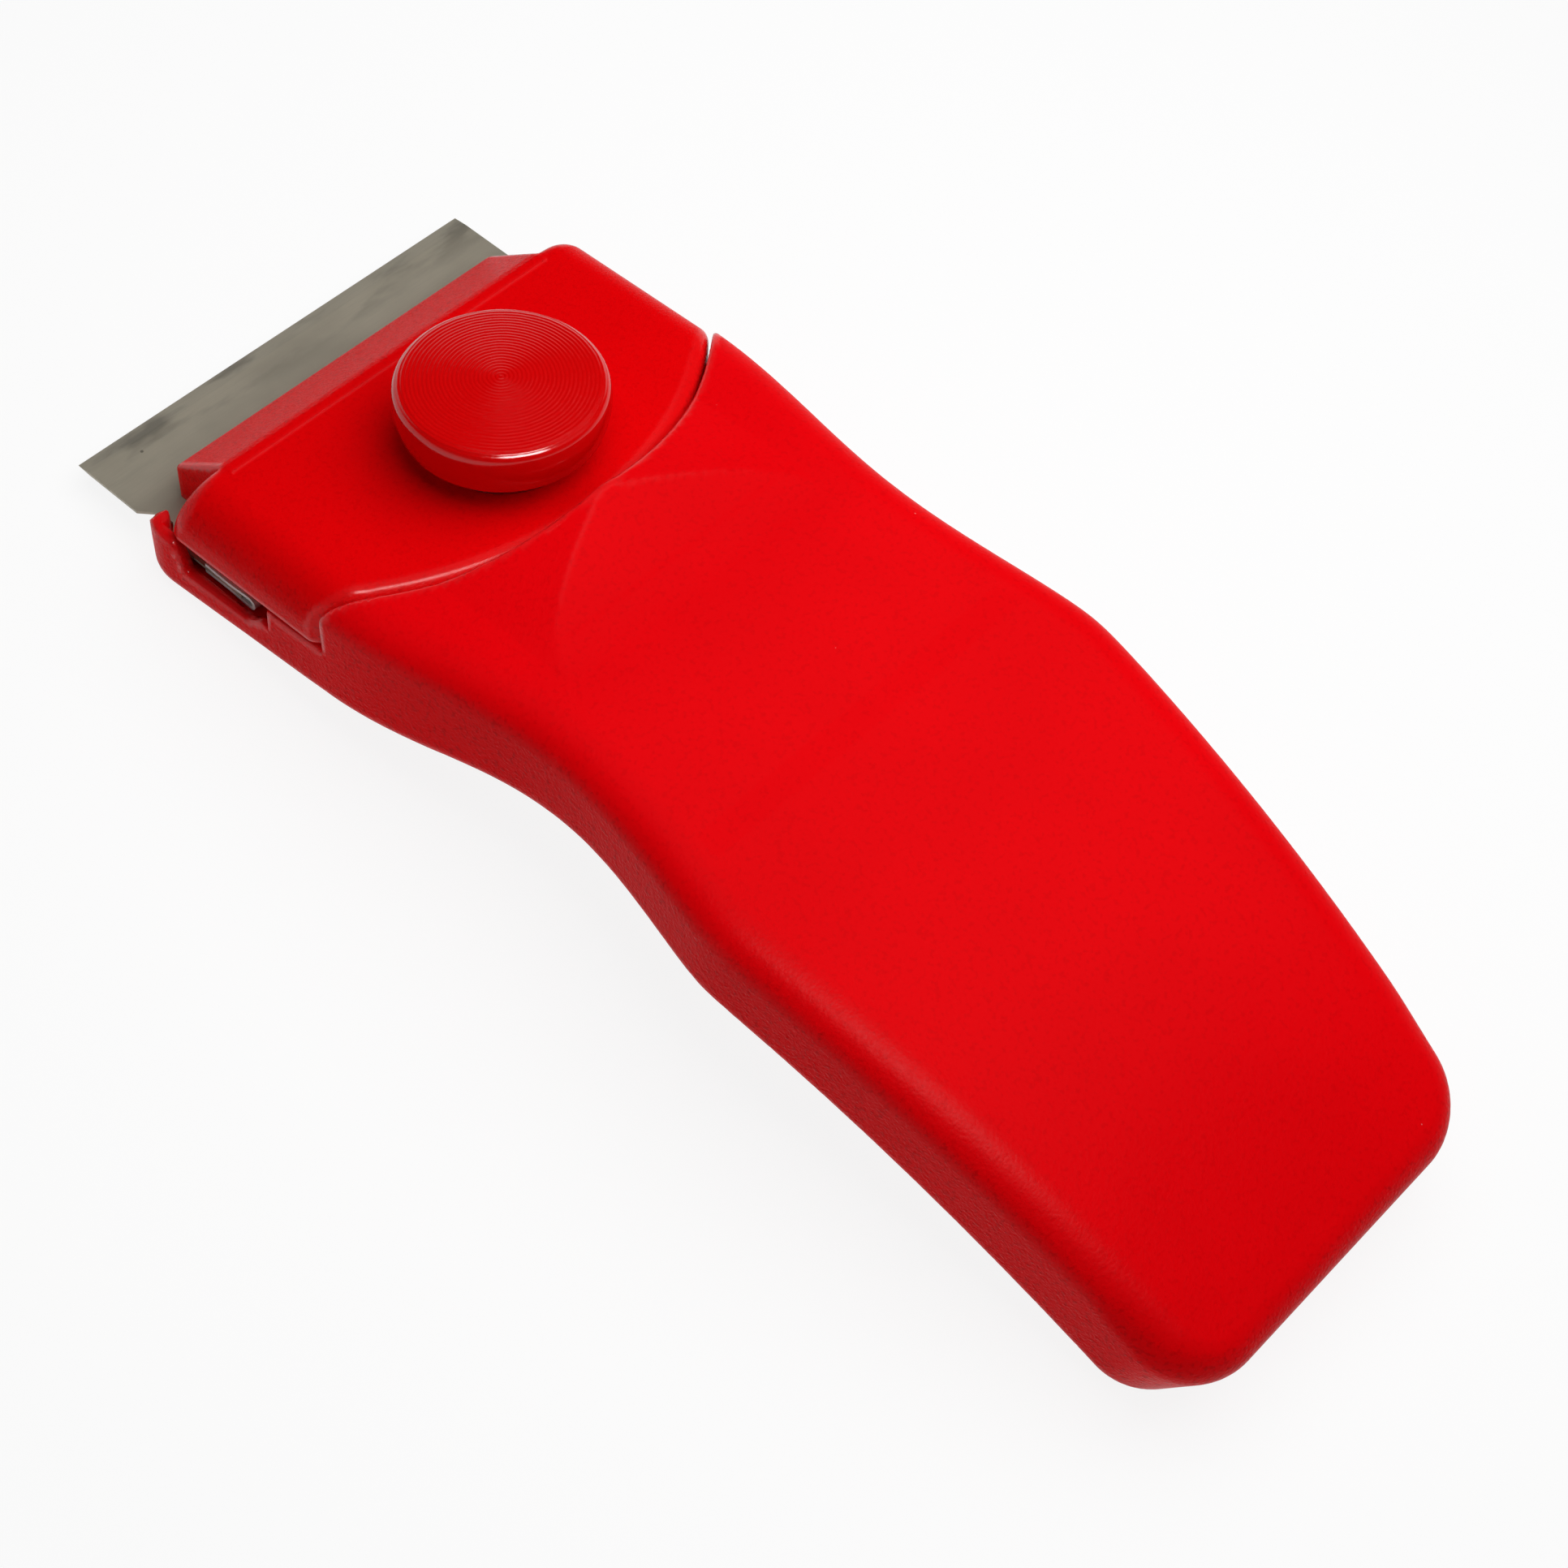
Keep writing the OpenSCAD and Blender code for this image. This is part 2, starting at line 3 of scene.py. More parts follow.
import json
import math
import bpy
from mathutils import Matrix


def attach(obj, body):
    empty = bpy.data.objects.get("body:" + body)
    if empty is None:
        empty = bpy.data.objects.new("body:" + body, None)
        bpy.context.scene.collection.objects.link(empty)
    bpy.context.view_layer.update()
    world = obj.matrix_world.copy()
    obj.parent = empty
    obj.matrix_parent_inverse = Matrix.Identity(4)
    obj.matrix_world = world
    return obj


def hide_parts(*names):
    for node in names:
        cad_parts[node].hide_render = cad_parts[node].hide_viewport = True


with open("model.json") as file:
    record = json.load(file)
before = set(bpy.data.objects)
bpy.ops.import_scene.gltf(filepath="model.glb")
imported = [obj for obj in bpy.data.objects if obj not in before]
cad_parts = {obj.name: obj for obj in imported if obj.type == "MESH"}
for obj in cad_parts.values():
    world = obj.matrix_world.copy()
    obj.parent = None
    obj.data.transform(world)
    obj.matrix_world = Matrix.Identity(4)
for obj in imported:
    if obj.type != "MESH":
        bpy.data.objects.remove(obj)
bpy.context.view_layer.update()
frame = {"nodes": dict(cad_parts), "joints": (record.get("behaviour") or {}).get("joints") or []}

from types import SimpleNamespace

import bpy
import numpy as np
from bpy.props import FloatProperty, FloatVectorProperty, IntProperty, PointerProperty
from mathutils import Matrix, Vector

bl_info = {
    "name": "Razor blade scraper",
    "version": (1, 0, 0),
    "blender": (4, 5, 0),
    "location": "View3D > Sidebar > Scraper",
    "description": "Moulds, turns and finishes the pieces of a palm scraper around its packed solids",
    "category": "Object",
}

MM = 0.001
JOINTS = {joint["name"]: joint for joint in frame["joints"]}

# The head frame has the cutting edge along X at its origin, the blade seat at z 0 and the handle to +Y.
KNOB_Y = 25.0
LIFT_AXIS = Vector(JOINTS["cap_lift"]["axis"])
HEAD_TURN = math.atan2(-LIFT_AXIS.y, LIFT_AXIS.z)
KNOB_FOOT = Vector(JOINTS["knob_turn"]["pos_m"])
HEAD = (
    Matrix.Translation(KNOB_FOOT)
    @ Matrix.Rotation(HEAD_TURN, 4, "X")
    @ Matrix.Translation((0, -KNOB_Y * MM, 0))
)


# Properties

def length(name, millimetres, note):
    """A length of the object, written in millimetres and kept in metres."""
    return FloatProperty(
        name=name, description=note, default=millimetres * MM, unit="LENGTH", precision=5
    )


def share(name, value, note):
    """A plain number of a finish or a shape."""
    return FloatProperty(name=name, description=note, default=value, precision=3)


def watts(name, value, note):
    """The power of a lamp."""
    return FloatProperty(name=name, description=note, default=value, unit="POWER")


def tint(name, red, green, blue, note):
    """A linear colour of a finish."""
    return FloatVectorProperty(
        name=name, description=note, default=(red, green, blue, 1), size=4, subtype="COLOR", min=0, max=1
    )


class HandleSizes(bpy.types.PropertyGroup):
    """Sizes of the moulded handle, in the head frame and along its arched top."""

    cell: length("Mesh cell", 0.4, "Size of the mesh cells of the handle")
    seat_front: length("Seat front", 7.2, "Front edge of the blade seat behind the cutting edge")
    seat_half_w: length("Seat half width", 20.6, "Half width at the front of the seat")
    seat_corner_r: length("Seat corner", 4.0, "Plan radius of the front corners")
    shoulder_y: length("Shoulder", 26.6, "Start of the raised shoulders")
    shoulder_half_w: length("Shoulder half width", 20.0, "Half width at the shoulders")
    waist_s: length("Waist place", 47.5, "Distance along the top to the narrowest place")
    waist_half_w: length("Waist half width", 17.65, "Half width at the narrowest place")
    swell_len: length("Swell length", 24.0, "Length over which the palm swells")
    swell_half_w: length("Swell half width", 20.6, "Half width of the palm")
    swell_soft: length("Swell softness", 0.4, "How softly the swell turns into the taper")
    taper_s: length("Taper place", 66.0, "Distance along the top from which the palm tapers")
    taper_half_w: length("Taper half width", 19.95, "Half width where the taper starts")
    heel_half_w: length("Heel half width", 15.9, "Half width at the heel")
    heel_corner_r: length("Heel corner", 5.6, "Plan radius of the heel corners")
    heel_edge_r: length("Heel edge", 3.0, "Radius of the heel's top edge")
    full_len: length("Length", 108.7, "Length along the arched top")
    top_z: length("Top", 6.7, "Height of the top over the blade seat")
    bend_y: length("Bend", 36.0, "Where the straight head turns into the arch")
    arch_r: length("Arch radius", 122.0, "Radius of the arched top")
    head_h: length("Head thickness", 10.6, "Thickness of the head")
    mid_h: length("Middle thickness", 8.05, "Thickness in the middle")
    heel_h: length("Heel thickness", 9.3, "Thickness at the heel")
    thin_from: length("Thinning start", 24.0, "Where the handle starts to get thinner")
    mid_s: length("Middle place", 56.0, "Where the handle is thinnest")
    top_edge_w: length("Top edge width", 3.4, "Width of the rounded top edge")
    top_edge_h: length("Top edge height", 2.2, "Height of the rounded top edge")
    bottom_edge_r: length("Bottom edge", 1.8, "Radius of the bottom edge")
    side_draft: length("Side draft", 0.1, "How far the sides lean in towards the bottom")
    stop_h: length("Thumb stop height", 2.3, "Rise of the thumb stop at the cap")
    stop_half_w: length("Thumb stop half width", 12.85, "Half width of the thumb stop's foot")
    stop_slope: share("Thumb stop slope", 0.175, "Slope of the thumb stop's flanks")
    stop_front: length("Thumb stop front", 34.7, "Where the thumb stop is highest")
    stop_back: length("Thumb stop back", 45.0, "Where the thumb stop runs out")
    recess_r: length("Recess radius", 29.68, "Radius of the wall behind the cap")
    recess_y: length("Recess centre", 4.8, "Centre of the wall behind the cap")
    ledge_z: length("Ledge", 0.9, "Height of the ledge behind the blade pocket")
    seat_tilt: FloatProperty(
        name="Seat tilt", description="Fall of the blade seat", default=math.radians(2.4), subtype="ANGLE"
    )
    pocket_depth: length("Pocket depth", 0.5, "Depth of the pocket for the blade's spine")
    pocket_rear: length("Pocket rear", 21.3, "Rear wall of the pocket")
    land_back: length("Land back", 12.6, "Rear edge of the land under the blade")
    land_half_w: length("Land half width", 16.6, "Half width of the land under the blade")
    lip_r: length("Lip radius", 0.45, "Radius of the moulded lips round the head")
    rim_in: length("Rim start", 19.3, "Inner side of the raised rim beside the pocket")
    rim_low: length("Rim height", -0.15, "Height of the rim beside the blade's spine")
    rim_front: length("Rim front rise", 2.2, "How much higher the rim is at the lugs")
    rim_rear: length("Rim rear rise", 1.0, "How much higher the rim is at the ledge")
    ledge_rim: length("Ledge rim", 0.85, "Rise of the rim along the ledge")
    lug_in: length("Lug inner side", 18.05, "Inner side of the lugs in the blade's notches")
    lug_out: length("Lug foot", 19.2, "Where the lugs are as wide as the notches")
    lug_front: length("Lug front", 6.4, "Front of the lugs at the blade's ends")
    lug_back: length("Lug back", 10.4, "Rear of the lugs at the blade's ends")
    lug_h: length("Lug height", 2.1, "Height of the lugs over the blade seat")


class InsideSizes(bpy.types.PropertyGroup):
    """Sizes of the cover and the fixings under the handle."""

    cover_t: length("Cover thickness", 2.0, "Thickness of the base cover")
    rim_w: length("Rim width", 2.9, "Width of the handle's rim round the cover")
    cover_from: length("Cover start", 36.5, "Front edge of the cover along the top")
    cover_to: length("Cover end", 102.7, "Rear edge of the cover along the top")
    cover_gap: length("Cover gap", 0.15, "Gap round the cover")
    cover_seat: length("Cover seat gap", 0.05, "Gap over the cover")
    screw_front_x: length("Front screws across", 10.5, "Half distance between the front screws")
    screw_front_s: length("Front screws along", 43.0, "Place of the front screws along the top")
    screw_rear_x: length("Rear screws across", 9.5, "Half distance between the rear screws")
    screw_rear_s: length("Rear screws along", 96.5, "Place of the rear screws along the top")
    screw_r: length("Screw radius", 1.25, "Radius of a screw's shank")
    screw_head_r: length("Screw head radius", 2.5, "Radius of a screw's head")
    screw_head_h: length("Screw head height", 1.1, "Height of a screw's head")
    screw_len: length("Screw length", 4.2, "Length of a screw's shank")
    screw_slot: length("Screw slot", 0.7, "Width of a screw's slot")
    head_sink: length("Screw head sink", 1.2, "Depth of the hole for a screw's head")
    insert_r: length("Insert radius", 4.62, "Radius of the hole for the threaded insert")
    flange_r: length("Flange radius", 5.72, "Radius of the hole for the insert's flange")
    flange_t: length("Flange thickness", 0.9, "Depth of the hole for the insert's flange")
    insert_top: length("Insert top", -1.8, "Height of the insert's top end")
    insert_low: length("Insert bottom", -4.9, "Height of the insert's bottom end")
    boss_r: length("Boss radius", 6.8, "Radius of the boss round the insert")
    stud_hole_r: length("Stud hole", 3.24, "Radius of the hole for the stud")
    pin_x: length("Pin place", 13.0, "Half distance between the guide pins")
    pin_hole_r: length("Pin hole", 1.27, "Radius of the holes for the guide pins")
    pin_deep: length("Pin depth", 2.6, "Depth of the holes for the guide pins")


class CapSizes(bpy.types.PropertyGroup):
    """Sizes of the clamping cap, in the head frame."""

    cell: length("Mesh cell", 0.29, "Size of the mesh cells of the cap")
    half_w: length("Half width", 20.0, "Half width of the cap")
    top: length("Top", 6.6, "Height of the cap's top")
    under: length("Underside", 1.9, "Height of the cap's underside")
    rear_r: length("Rear radius", 29.4, "Radius of the cap's curved rear")
    rear_corner_r: length("Rear corner", 0.5, "Plan radius of the rear corners")
    front_y: length("Front", 10.2, "Front of the cap at its foot")
    front_corner_r: length("Front corner", 1.4, "Plan radius of the front corners")
    side_edge_r: length("Side edge", 3.4, "Radius of the top edge at the sides")
    rear_edge_r: length("Rear edge", 1.2, "Radius of the top edge at the rear")
    front_edge_r: length("Front edge", 0.45, "Radius of the top edge at the front")
    nose_half_w: length("Nose half width", 15.8, "Half width of the nose over the blade")
    nose_h: length("Nose height", 2.9, "Height of the nose's front face")
    nose_front: length("Nose front", 7.3, "Front of the nose")
    nose_top_y: length("Nose top", 12.7, "Where the nose's bevel meets the top")
    nose_back: length("Nose back", 11.4, "Rear end of the foot that holds the blade")
    nose_edge_r: length("Nose edge", 0.3, "Radius of the nose's edges")
    strip_top: length("Strip top", 0.27, "Height of the clamped blade's upper face at the cutting edge")
    pad_from: length("Pad start", 29.2, "Front of the pad under the cap's rear")
    pad_to: length("Pad end", 31.6, "Rear of the pad under the cap's rear")
    pad_half_w: length("Pad half width", 11.0, "Half width of the pad under the cap's rear")
    pad_low: length("Pad foot", 0.92, "Height of the pad's foot")
    stud_hole_r: length("Stud hole", 3.06, "Radius of the hole for the stud")
    clip_hole_r: length("Clip hole", 5.0, "Radius of the room for the clip")
    clip_room: length("Clip room", 1.6, "Height of the room for the clip")
    pin_hole_r: length("Pin hole", 1.31, "Radius of the holes for the guide pins")
    pin_hole_top: length("Pin hole top", 4.7, "Height of the tops of the holes for the guide pins")


class KnobSizes(bpy.types.PropertyGroup):
    """Sizes of the turned knob, over the blade seat and from the knob's axis."""

    low_z: length("Hub foot", 7.4, "Height of the hub's foot")
    hub_r: length("Hub radius", 4.6, "Radius of the hub")
    hub_h: length("Hub height", 1.2, "Height of the hub")
    disc_r: length("Disc radius", 7.75, "Radius of the disc at its belly")
    disc_h: length("Disc height", 3.8, "Height of the disc")
    side_r: length("Side radius", 5.0, "Radius of the barrel side")
    edge_r: length("Top edge", 0.9, "Radius of the top edge")
    low_edge_r: length("Bottom edge", 0.5, "Radius of the bottom edge")
    dome_h: length("Dome", 0.4, "Rise of the domed top")
    bore_r: length("Bore", 3.02, "Radius of the bore for the stud")
    bore_top: length("Bore top", 11.0, "Height of the bore's end")
    ring_pitch: length("Ring pitch", 0.3, "Distance between the turned rings on the top")
    segments: IntProperty(name="Segments", description="Faces round the knob", default=144, min=24)


class SpineSizes(bpy.types.PropertyGroup):
    """Sizes of the folded spine on the blade, in the blade's own plane."""

    blade_w: length("Blade width", 38.1, "Width of the blade and its spine")
    blade_t: length("Blade thickness", 0.23, "Thickness of the blade strip")
    sheet_t: length("Sheet thickness", 0.28, "Thickness of the folded sheet")
    front_y: length("Lip place", 13.8, "Front edges of the folded sheet")
    rear_y: length("Rear place", 19.02, "Rear of the folded sheet")
    pinch_y: length("Pinch place", 16.3, "Where the sheet grips the strip")
    lip_out: length("Lip flare", 0.06, "How far the lips stand off the strip")
    loop_r: length("Loop radius", 0.42, "Radius of the loop at the rear")


class Finishes(bpy.types.PropertyGroup):
    """Colours of the finishes."""

    handle: tint("Handle", 0.80, 0.0005, 0.003, "Colour of the handle's plastic")
    cap: tint("Cap", 0.78, 0.0005, 0.002, "Colour of the cap's plastic")
    knob: tint("Knob", 0.64, 0.0005, 0.001, "Colour of the knob's plastic")
    cover: tint("Cover", 0.55, 0.002, 0.005, "Colour of the base cover's plastic")
    blade: tint("Blade", 0.46, 0.42, 0.33, "Colour of the blade's steel")
    spine: tint("Spine", 0.88, 0.87, 0.86, "Colour of the spine's steel")
    steel: tint("Fastener steel", 0.58, 0.58, 0.57, "Colour of the screws, pins and stud")
    brass: tint("Brass", 0.72, 0.50, 0.18, "Colour of the threaded insert")


class StageSettings(bpy.types.PropertyGroup):
    """Camera, lamps and floor."""

    camera_place: FloatVectorProperty(
        name="Camera place", description="Where the camera stands", subtype="TRANSLATION", unit="LENGTH",
        default=(0.109625, 0.055962, 0.192603), precision=5,
    )
    camera_right: FloatVectorProperty(
        name="Camera right", description="The image's right in the row frame", subtype="DIRECTION",
        default=(-0.670224, 0.720014, 0.179944), precision=5,
    )
    camera_back: FloatVectorProperty(
        name="Camera back", description="From the object towards the camera", subtype="DIRECTION",
        default=(0.486344, 0.242955, 0.839311), precision=5,
    )
    lens: FloatProperty(name="Lens", description="Focal length on a 36 mm sensor", default=72.50)
    key_power: watts("Key lamp", 0.335, "Power of the matt key lamp overhead")
    fill_power: watts("Fill lamp", 0.1, "Power of the matt fill lamp at the side")
    strip_power: watts("Strip lamp", 2.5, "Power of the long lamp that shows in gloss")
    horizon: share("Horizon", 0.8, "Brightness of the surroundings near the floor")
    zenith: share("Zenith", 0.02, "Brightness of the surroundings overhead")


class ScraperSettings(bpy.types.PropertyGroup):
    """All settings of the scraper."""

    handle: PointerProperty(type=HandleSizes)
    inside: PointerProperty(type=InsideSizes)
    cap: PointerProperty(type=CapSizes)
    knob: PointerProperty(type=KnobSizes)
    spine: PointerProperty(type=SpineSizes)
    finishes: PointerProperty(type=Finishes)
    stage: PointerProperty(type=StageSettings)


def in_mm(group):
    """The group's values under their own names, with lengths in millimetres."""
    values = {}
    for name in group.__annotations__:
        value = getattr(group, name)
        is_length = group.bl_rna.properties[name].unit == "LENGTH"
        values[name] = value / MM if is_length else value
    return SimpleNamespace(**values)


def settings():
    """The scraper's settings in this scene."""
    return bpy.context.scene.scraper


# Small details of the mouldings: millimetres of the head frame, and slopes and a lean for the lugs

UNDER_Z = -22.0
RIM = SimpleNamespace(
    ledge_lead=0.9, ledge_run=0.6, front_foot=13.2, front_run=1.6, rear_foot=19.0, rear_run=2.0,
    edge_r=0.3, lug_reach=2.0, wall_overlap=1.0,
)
LUG = SimpleNamespace(
    notch_lean=math.radians(40.4), front_rise=1.1, rear_fall=1.2, rear_lead=0.6, side_r=0.4, top_r=0.5,
)
SHELL = SimpleNamespace(
    stop_soft=0.05, heel_reach=12.0, heel_run=8.0, cover_rim_r=0.25, boss_h=2.0, boss_edge_r=0.4,
    boss_fillet=0.6, bore_top=4.0, foot_edge_r=0.15,
)
COVER = SimpleNamespace(
    cell=0.45, corner_r=0.8, edge_r=0.4, head_gap=0.2, head_edge_r=0.15, shank_gap=0.06,
)
CAP = SimpleNamespace(
    under_edge_r=0.15, nose_overlap=1.0, step_overlap=0.2, pad_overlap=0.5, nose_fillet=0.2,
)


# Fields: negative inside a piece, in millimetres of the head frame
# In them h holds the sizes of the handle, k those of its inside and c those of the cap.

def blend(a, b, t):
    """The value between a and b at t."""
    return a + (b - a) * t


def ease(a, b, t):
    """The value between a and b with soft ends."""
    return a + (b - a) * (1 - np.cos(math.pi * np.clip(t, 0, 1))) / 2


def soft_min(a, b, soft):
    """The smaller value, with a soft turn between the two."""
    return (a + b - np.sqrt((a - b) ** 2 + soft * soft)) / 2


def common(a, b, r):
    """What two fields share, with the outer edge rounded."""
    outer = np.hypot(np.maximum(a + r, 0), np.maximum(b + r, 0))
    return np.minimum(np.maximum(a, b), -r) + outer


def joined(a, b, r):
    """Two fields together, with the inner corner filled."""
    inner = np.hypot(np.maximum(r - a, 0), np.maximum(r - b, 0))
    return np.maximum(np.minimum(a, b), r) - inner


def cut(a, b, r):
    """The first field without the second, with the rim rounded."""
    return common(a, -b, r)


def all_of(*fields):
    """What several fields share, with sharp edges."""
    return np.maximum.reduce(fields)


def any_of(*fields):
    """Several fields together, with sharp corners."""
    return np.minimum.reduce(fields)


def along_arch(h, y, z):
    """Distance along the arched top and height over it."""
    centre_z = h.top_z - h.arch_r
    past = y > h.bend_y
    turn = np.arctan2(y - h.bend_y, z - centre_z)
    s = np.where(past, h.bend_y + h.arch_r * turn, y)
    n = np.where(past, np.hypot(y - h.bend_y, z - centre_z) - h.arch_r, z - h.top_z)
    return s, n


def half_width(h, s):
    """Half width of the handle along its top, before the corners are rounded."""
    head = blend(h.seat_half_w, h.shoulder_half_w, (s - h.seat_front) / (h.shoulder_y - h.seat_front))
    neck = ease(h.shoulder_half_w, h.waist_half_w, (s - h.shoulder_y) / (h.waist_s - h.shoulder_y))
    palm = ease(h.waist_half_w, h.swell_half_w, (s - h.waist_s) / h.swell_len)
    taper = blend(h.taper_half_w, h.heel_half_w, (s - h.taper_s) / (h.full_len - h.taper_s))
    rear = soft_min(palm, taper, h.swell_soft)
    return np.where(s < h.shoulder_y, head, np.where(s < h.waist_s, neck, rear))


def thickness(h, s):
    """Thickness of the handle along its top."""
    front = ease(h.head_h, h.mid_h, (s - h.thin_from) / (h.mid_s - h.thin_from))
    rear = ease(h.mid_h, h.heel_h, (s - h.mid_s) / (h.full_len - h.mid_s))
    return np.where(s < h.mid_s, front, rear)


def thumb_rise(h, u, s):
    """Rise of the thumb stop: a ramp up to the cap, with flanks that fall to both sides."""
    ahead = np.clip((h.stop_back - s) / (h.stop_back - h.stop_front), 0, 1)
    flank = h.stop_slope * (h.stop_half_w - u)
    return np.maximum(soft_min(h.stop_h * ahead**2, flank, SHELL.stop_soft), 0)


def in_blade_plane(h, y, z):
    """A point seen along and over the tilted blade seat."""
    c = math.cos(h.seat_tilt)
    d = math.sin(h.seat_tilt)
    return y * c - z * d, y * d + z * c


def head_recess(h, x, y, z):
    """What is taken away at the head for the cap and the blade."""
    along, over = in_blade_plane(h, y, z)
    behind_cap = any_of(np.hypot(x, y - h.recess_y) - h.recess_r, y - h.shoulder_y)
    u = np.abs(x)
    ledge = h.ledge_z + ease(0, h.ledge_rim, (u - h.rim_in + RIM.ledge_lead) / RIM.ledge_run)
    rear = all_of(behind_cap, ledge - z, h.pocket_rear - RIM.wall_overlap - y)
    seat = all_of(-over, along - h.pocket_rear)
    land = all_of(u - h.land_half_w, along - h.land_back)
    pocket = all_of(-h.pocket_depth - over, along - h.pocket_rear, -land)
    rise = ease(0, h.rim_front, (RIM.front_foot - along) / RIM.front_run)
    rise = rise + ease(0, h.rim_rear, (along - RIM.rear_foot) / RIM.rear_run)
    rim = common(h.rim_in - u, over - h.rim_low - rise, RIM.edge_r)
    kept = any_of(blade_lug(h, u, along, over), all_of(rim, h.lug_front + RIM.lug_reach - along))
    return any_of(rear, all_of(any_of(seat, pocket), -kept))


def blade_lug(h, u, along, over):
    """A lug that stands in a notch of the blade and falls off to the front and the rear."""
    from_foot = (h.lug_out - u) * math.cos(LUG.notch_lean)
    front = from_foot - (along - h.lug_front) * math.sin(LUG.notch_lean)
    back = from_foot + (along - h.lug_back) * math.sin(LUG.notch_lean)
    top = np.minimum((along - h.seat_front) * LUG.front_rise, h.lug_h)
    top = np.minimum(top, h.lug_h - (along - h.lug_back + LUG.rear_lead) * LUG.rear_fall)
    side = common(common(h.lug_in - u, front, LUG.side_r), back, LUG.side_r)
    return common(side, over - top, LUG.top_r)


def handle_field(h, k):
    """The handle: an arched palm with a seat for the blade, open below for the cover."""

    def field(p):
        x, y, z = p.T
        u = np.abs(x)
        s, n = along_arch(h, y, z)
        w = half_width(h, s)
        deep = thickness(h, s)
        plan = common(u - w - h.side_draft * n / deep, s - h.full_len, h.heel_corner_r)
        plan = common(plan, h.seat_front - s, h.seat_corner_r)
        heel = ease(0, 1, (s - h.full_len + SHELL.heel_reach) / SHELL.heel_run)
        edge_w = blend(h.top_edge_w, h.heel_edge_r, heel)
        edge_h = blend(h.top_edge_h, h.heel_edge_r, heel)
        body = common(plan, (n - thumb_rise(h, u, s)) * edge_w / edge_h, edge_w)
        body = common(body, -deep - n, h.bottom_edge_r)
        body = cut(body, head_recess(h, x, y, z), h.lip_r)
        under = all_of(u - w + k.rim_w, k.cover_from - s, s - k.cover_to, n + deep - k.cover_t)
        body = cut(body, under, SHELL.cover_rim_r)
        q = np.hypot(x, y - KNOB_Y)
        boss = all_of(q - k.boss_r, k.insert_low - z, z - k.insert_low - SHELL.boss_h)
        body = joined(body, common(boss, k.insert_low - z, SHELL.boss_edge_r), SHELL.boss_fillet)
        flange = all_of(q - k.flange_r, z - k.insert_low - k.flange_t)
        bore = any_of(flange, all_of(q - k.insert_r, z - k.insert_top), q - k.stud_hole_r)
        pins = all_of(np.hypot(u - k.pin_x, y - KNOB_Y) - k.pin_hole_r, h.ledge_z - k.pin_deep - z)
        body = all_of(body, -all_of(any_of(bore, pins), z - SHELL.bore_top))
        floor = HEAD[2][1] * y + HEAD[2][2] * z + HEAD[2][3] / MM
        return common(body, -floor, SHELL.foot_edge_r)

    return field


def screw_stations(k):
    """Where the four cover screws stand: across and along the arched top."""
    front = [(side * k.screw_front_x, k.screw_front_s) for side in (1, -1)]
    rear = [(side * k.screw_rear_x, k.screw_rear_s) for side in (1, -1)]
    return front + rear


def cover_field(h, k):
    """The base cover: a plate bent to the handle's underside, with sunk screw holes."""

    def field(p):
        x, y, z = p.T
        s, n = along_arch(h, y, z)
        deep = thickness(h, s)
        side = np.abs(x) - half_width(h, s) + k.rim_w + k.cover_gap
        edge = common(side, k.cover_from + k.cover_gap - s, COVER.corner_r)
        edge = common(edge, s - k.cover_to + k.cover_gap, COVER.corner_r)
        plate = common(all_of(edge, n + deep - k.cover_t + k.cover_seat), -deep - n, COVER.edge_r)
        for across, along in screw_stations(k):
            q = np.hypot(x - across, s - along)
            sink = all_of(q - k.screw_head_r - COVER.head_gap, n + deep - k.head_sink)
            plate = cut(plate, sink, COVER.head_edge_r)
            plate = all_of(plate, COVER.shank_gap + k.screw_r - q)
        return plate

    return field


def cap_field(c, h, k):
    """The clamping cap: a flat block with a round rear, and a nose that bears on the blade."""

    def line(y, z, low, high):
        """Distance in front of a line from a low to a high point of the side view."""
        span = math.hypot(high[0] - low[0], high[1] - low[1])
        return ((z - low[1]) * (high[0] - low[0]) - (y - low[0]) * (high[1] - low[1])) / span

    def field(p):
        x, y, z = p.T
        u = np.abs(x)
        side = u - c.half_w
        front = line(y, z, (c.front_y, 0), (c.nose_top_y, c.top))
        rear = np.hypot(x, y - h.recess_y) - c.rear_r
        outer = (u - c.nose_half_w) / (c.half_w - c.nose_half_w)
        block = common(side, z - c.top, c.side_edge_r)
        block = common(block, front, ease(c.front_edge_r, c.front_corner_r, outer))
        block = common(block, rear, ease(c.rear_edge_r, c.rear_corner_r, outer))
        block = common(block, c.under - z, CAP.under_edge_r)
        bevel = line(y, z, (c.nose_front, c.nose_h), (c.nose_top_y, c.top))
        foot = c.strip_top - y * math.tan(h.seat_tilt) - z
        nose = common(common(c.nose_front - y, bevel, c.nose_edge_r), u - c.nose_half_w, c.nose_edge_r)
        nose = all_of(common(nose, z - c.top, c.nose_edge_r), foot, y - c.nose_top_y - CAP.nose_overlap)
        nose = all_of(nose, any_of(y - c.nose_back, c.under + CAP.step_overlap - z))
        pad = all_of(u - c.pad_half_w, c.pad_from - y, y - c.pad_to, c.pad_low - z)
        pad = all_of(pad, z - c.under - CAP.pad_overlap)
        body = any_of(joined(block, nose, CAP.nose_fillet), pad)
        q = np.hypot(x, y - KNOB_Y)
        clip = all_of(q - c.clip_hole_r, z - c.under - c.clip_room)
        pins = all_of(np.hypot(u - k.pin_x, y - KNOB_Y) - c.pin_hole_r, z - c.pin_hole_top)
        return all_of(body, -any_of(q - c.stud_hole_r, clip, pins))

    return field


# Meshes of fields: margins, insets and settling in cells, and wear over a reach in millimetres

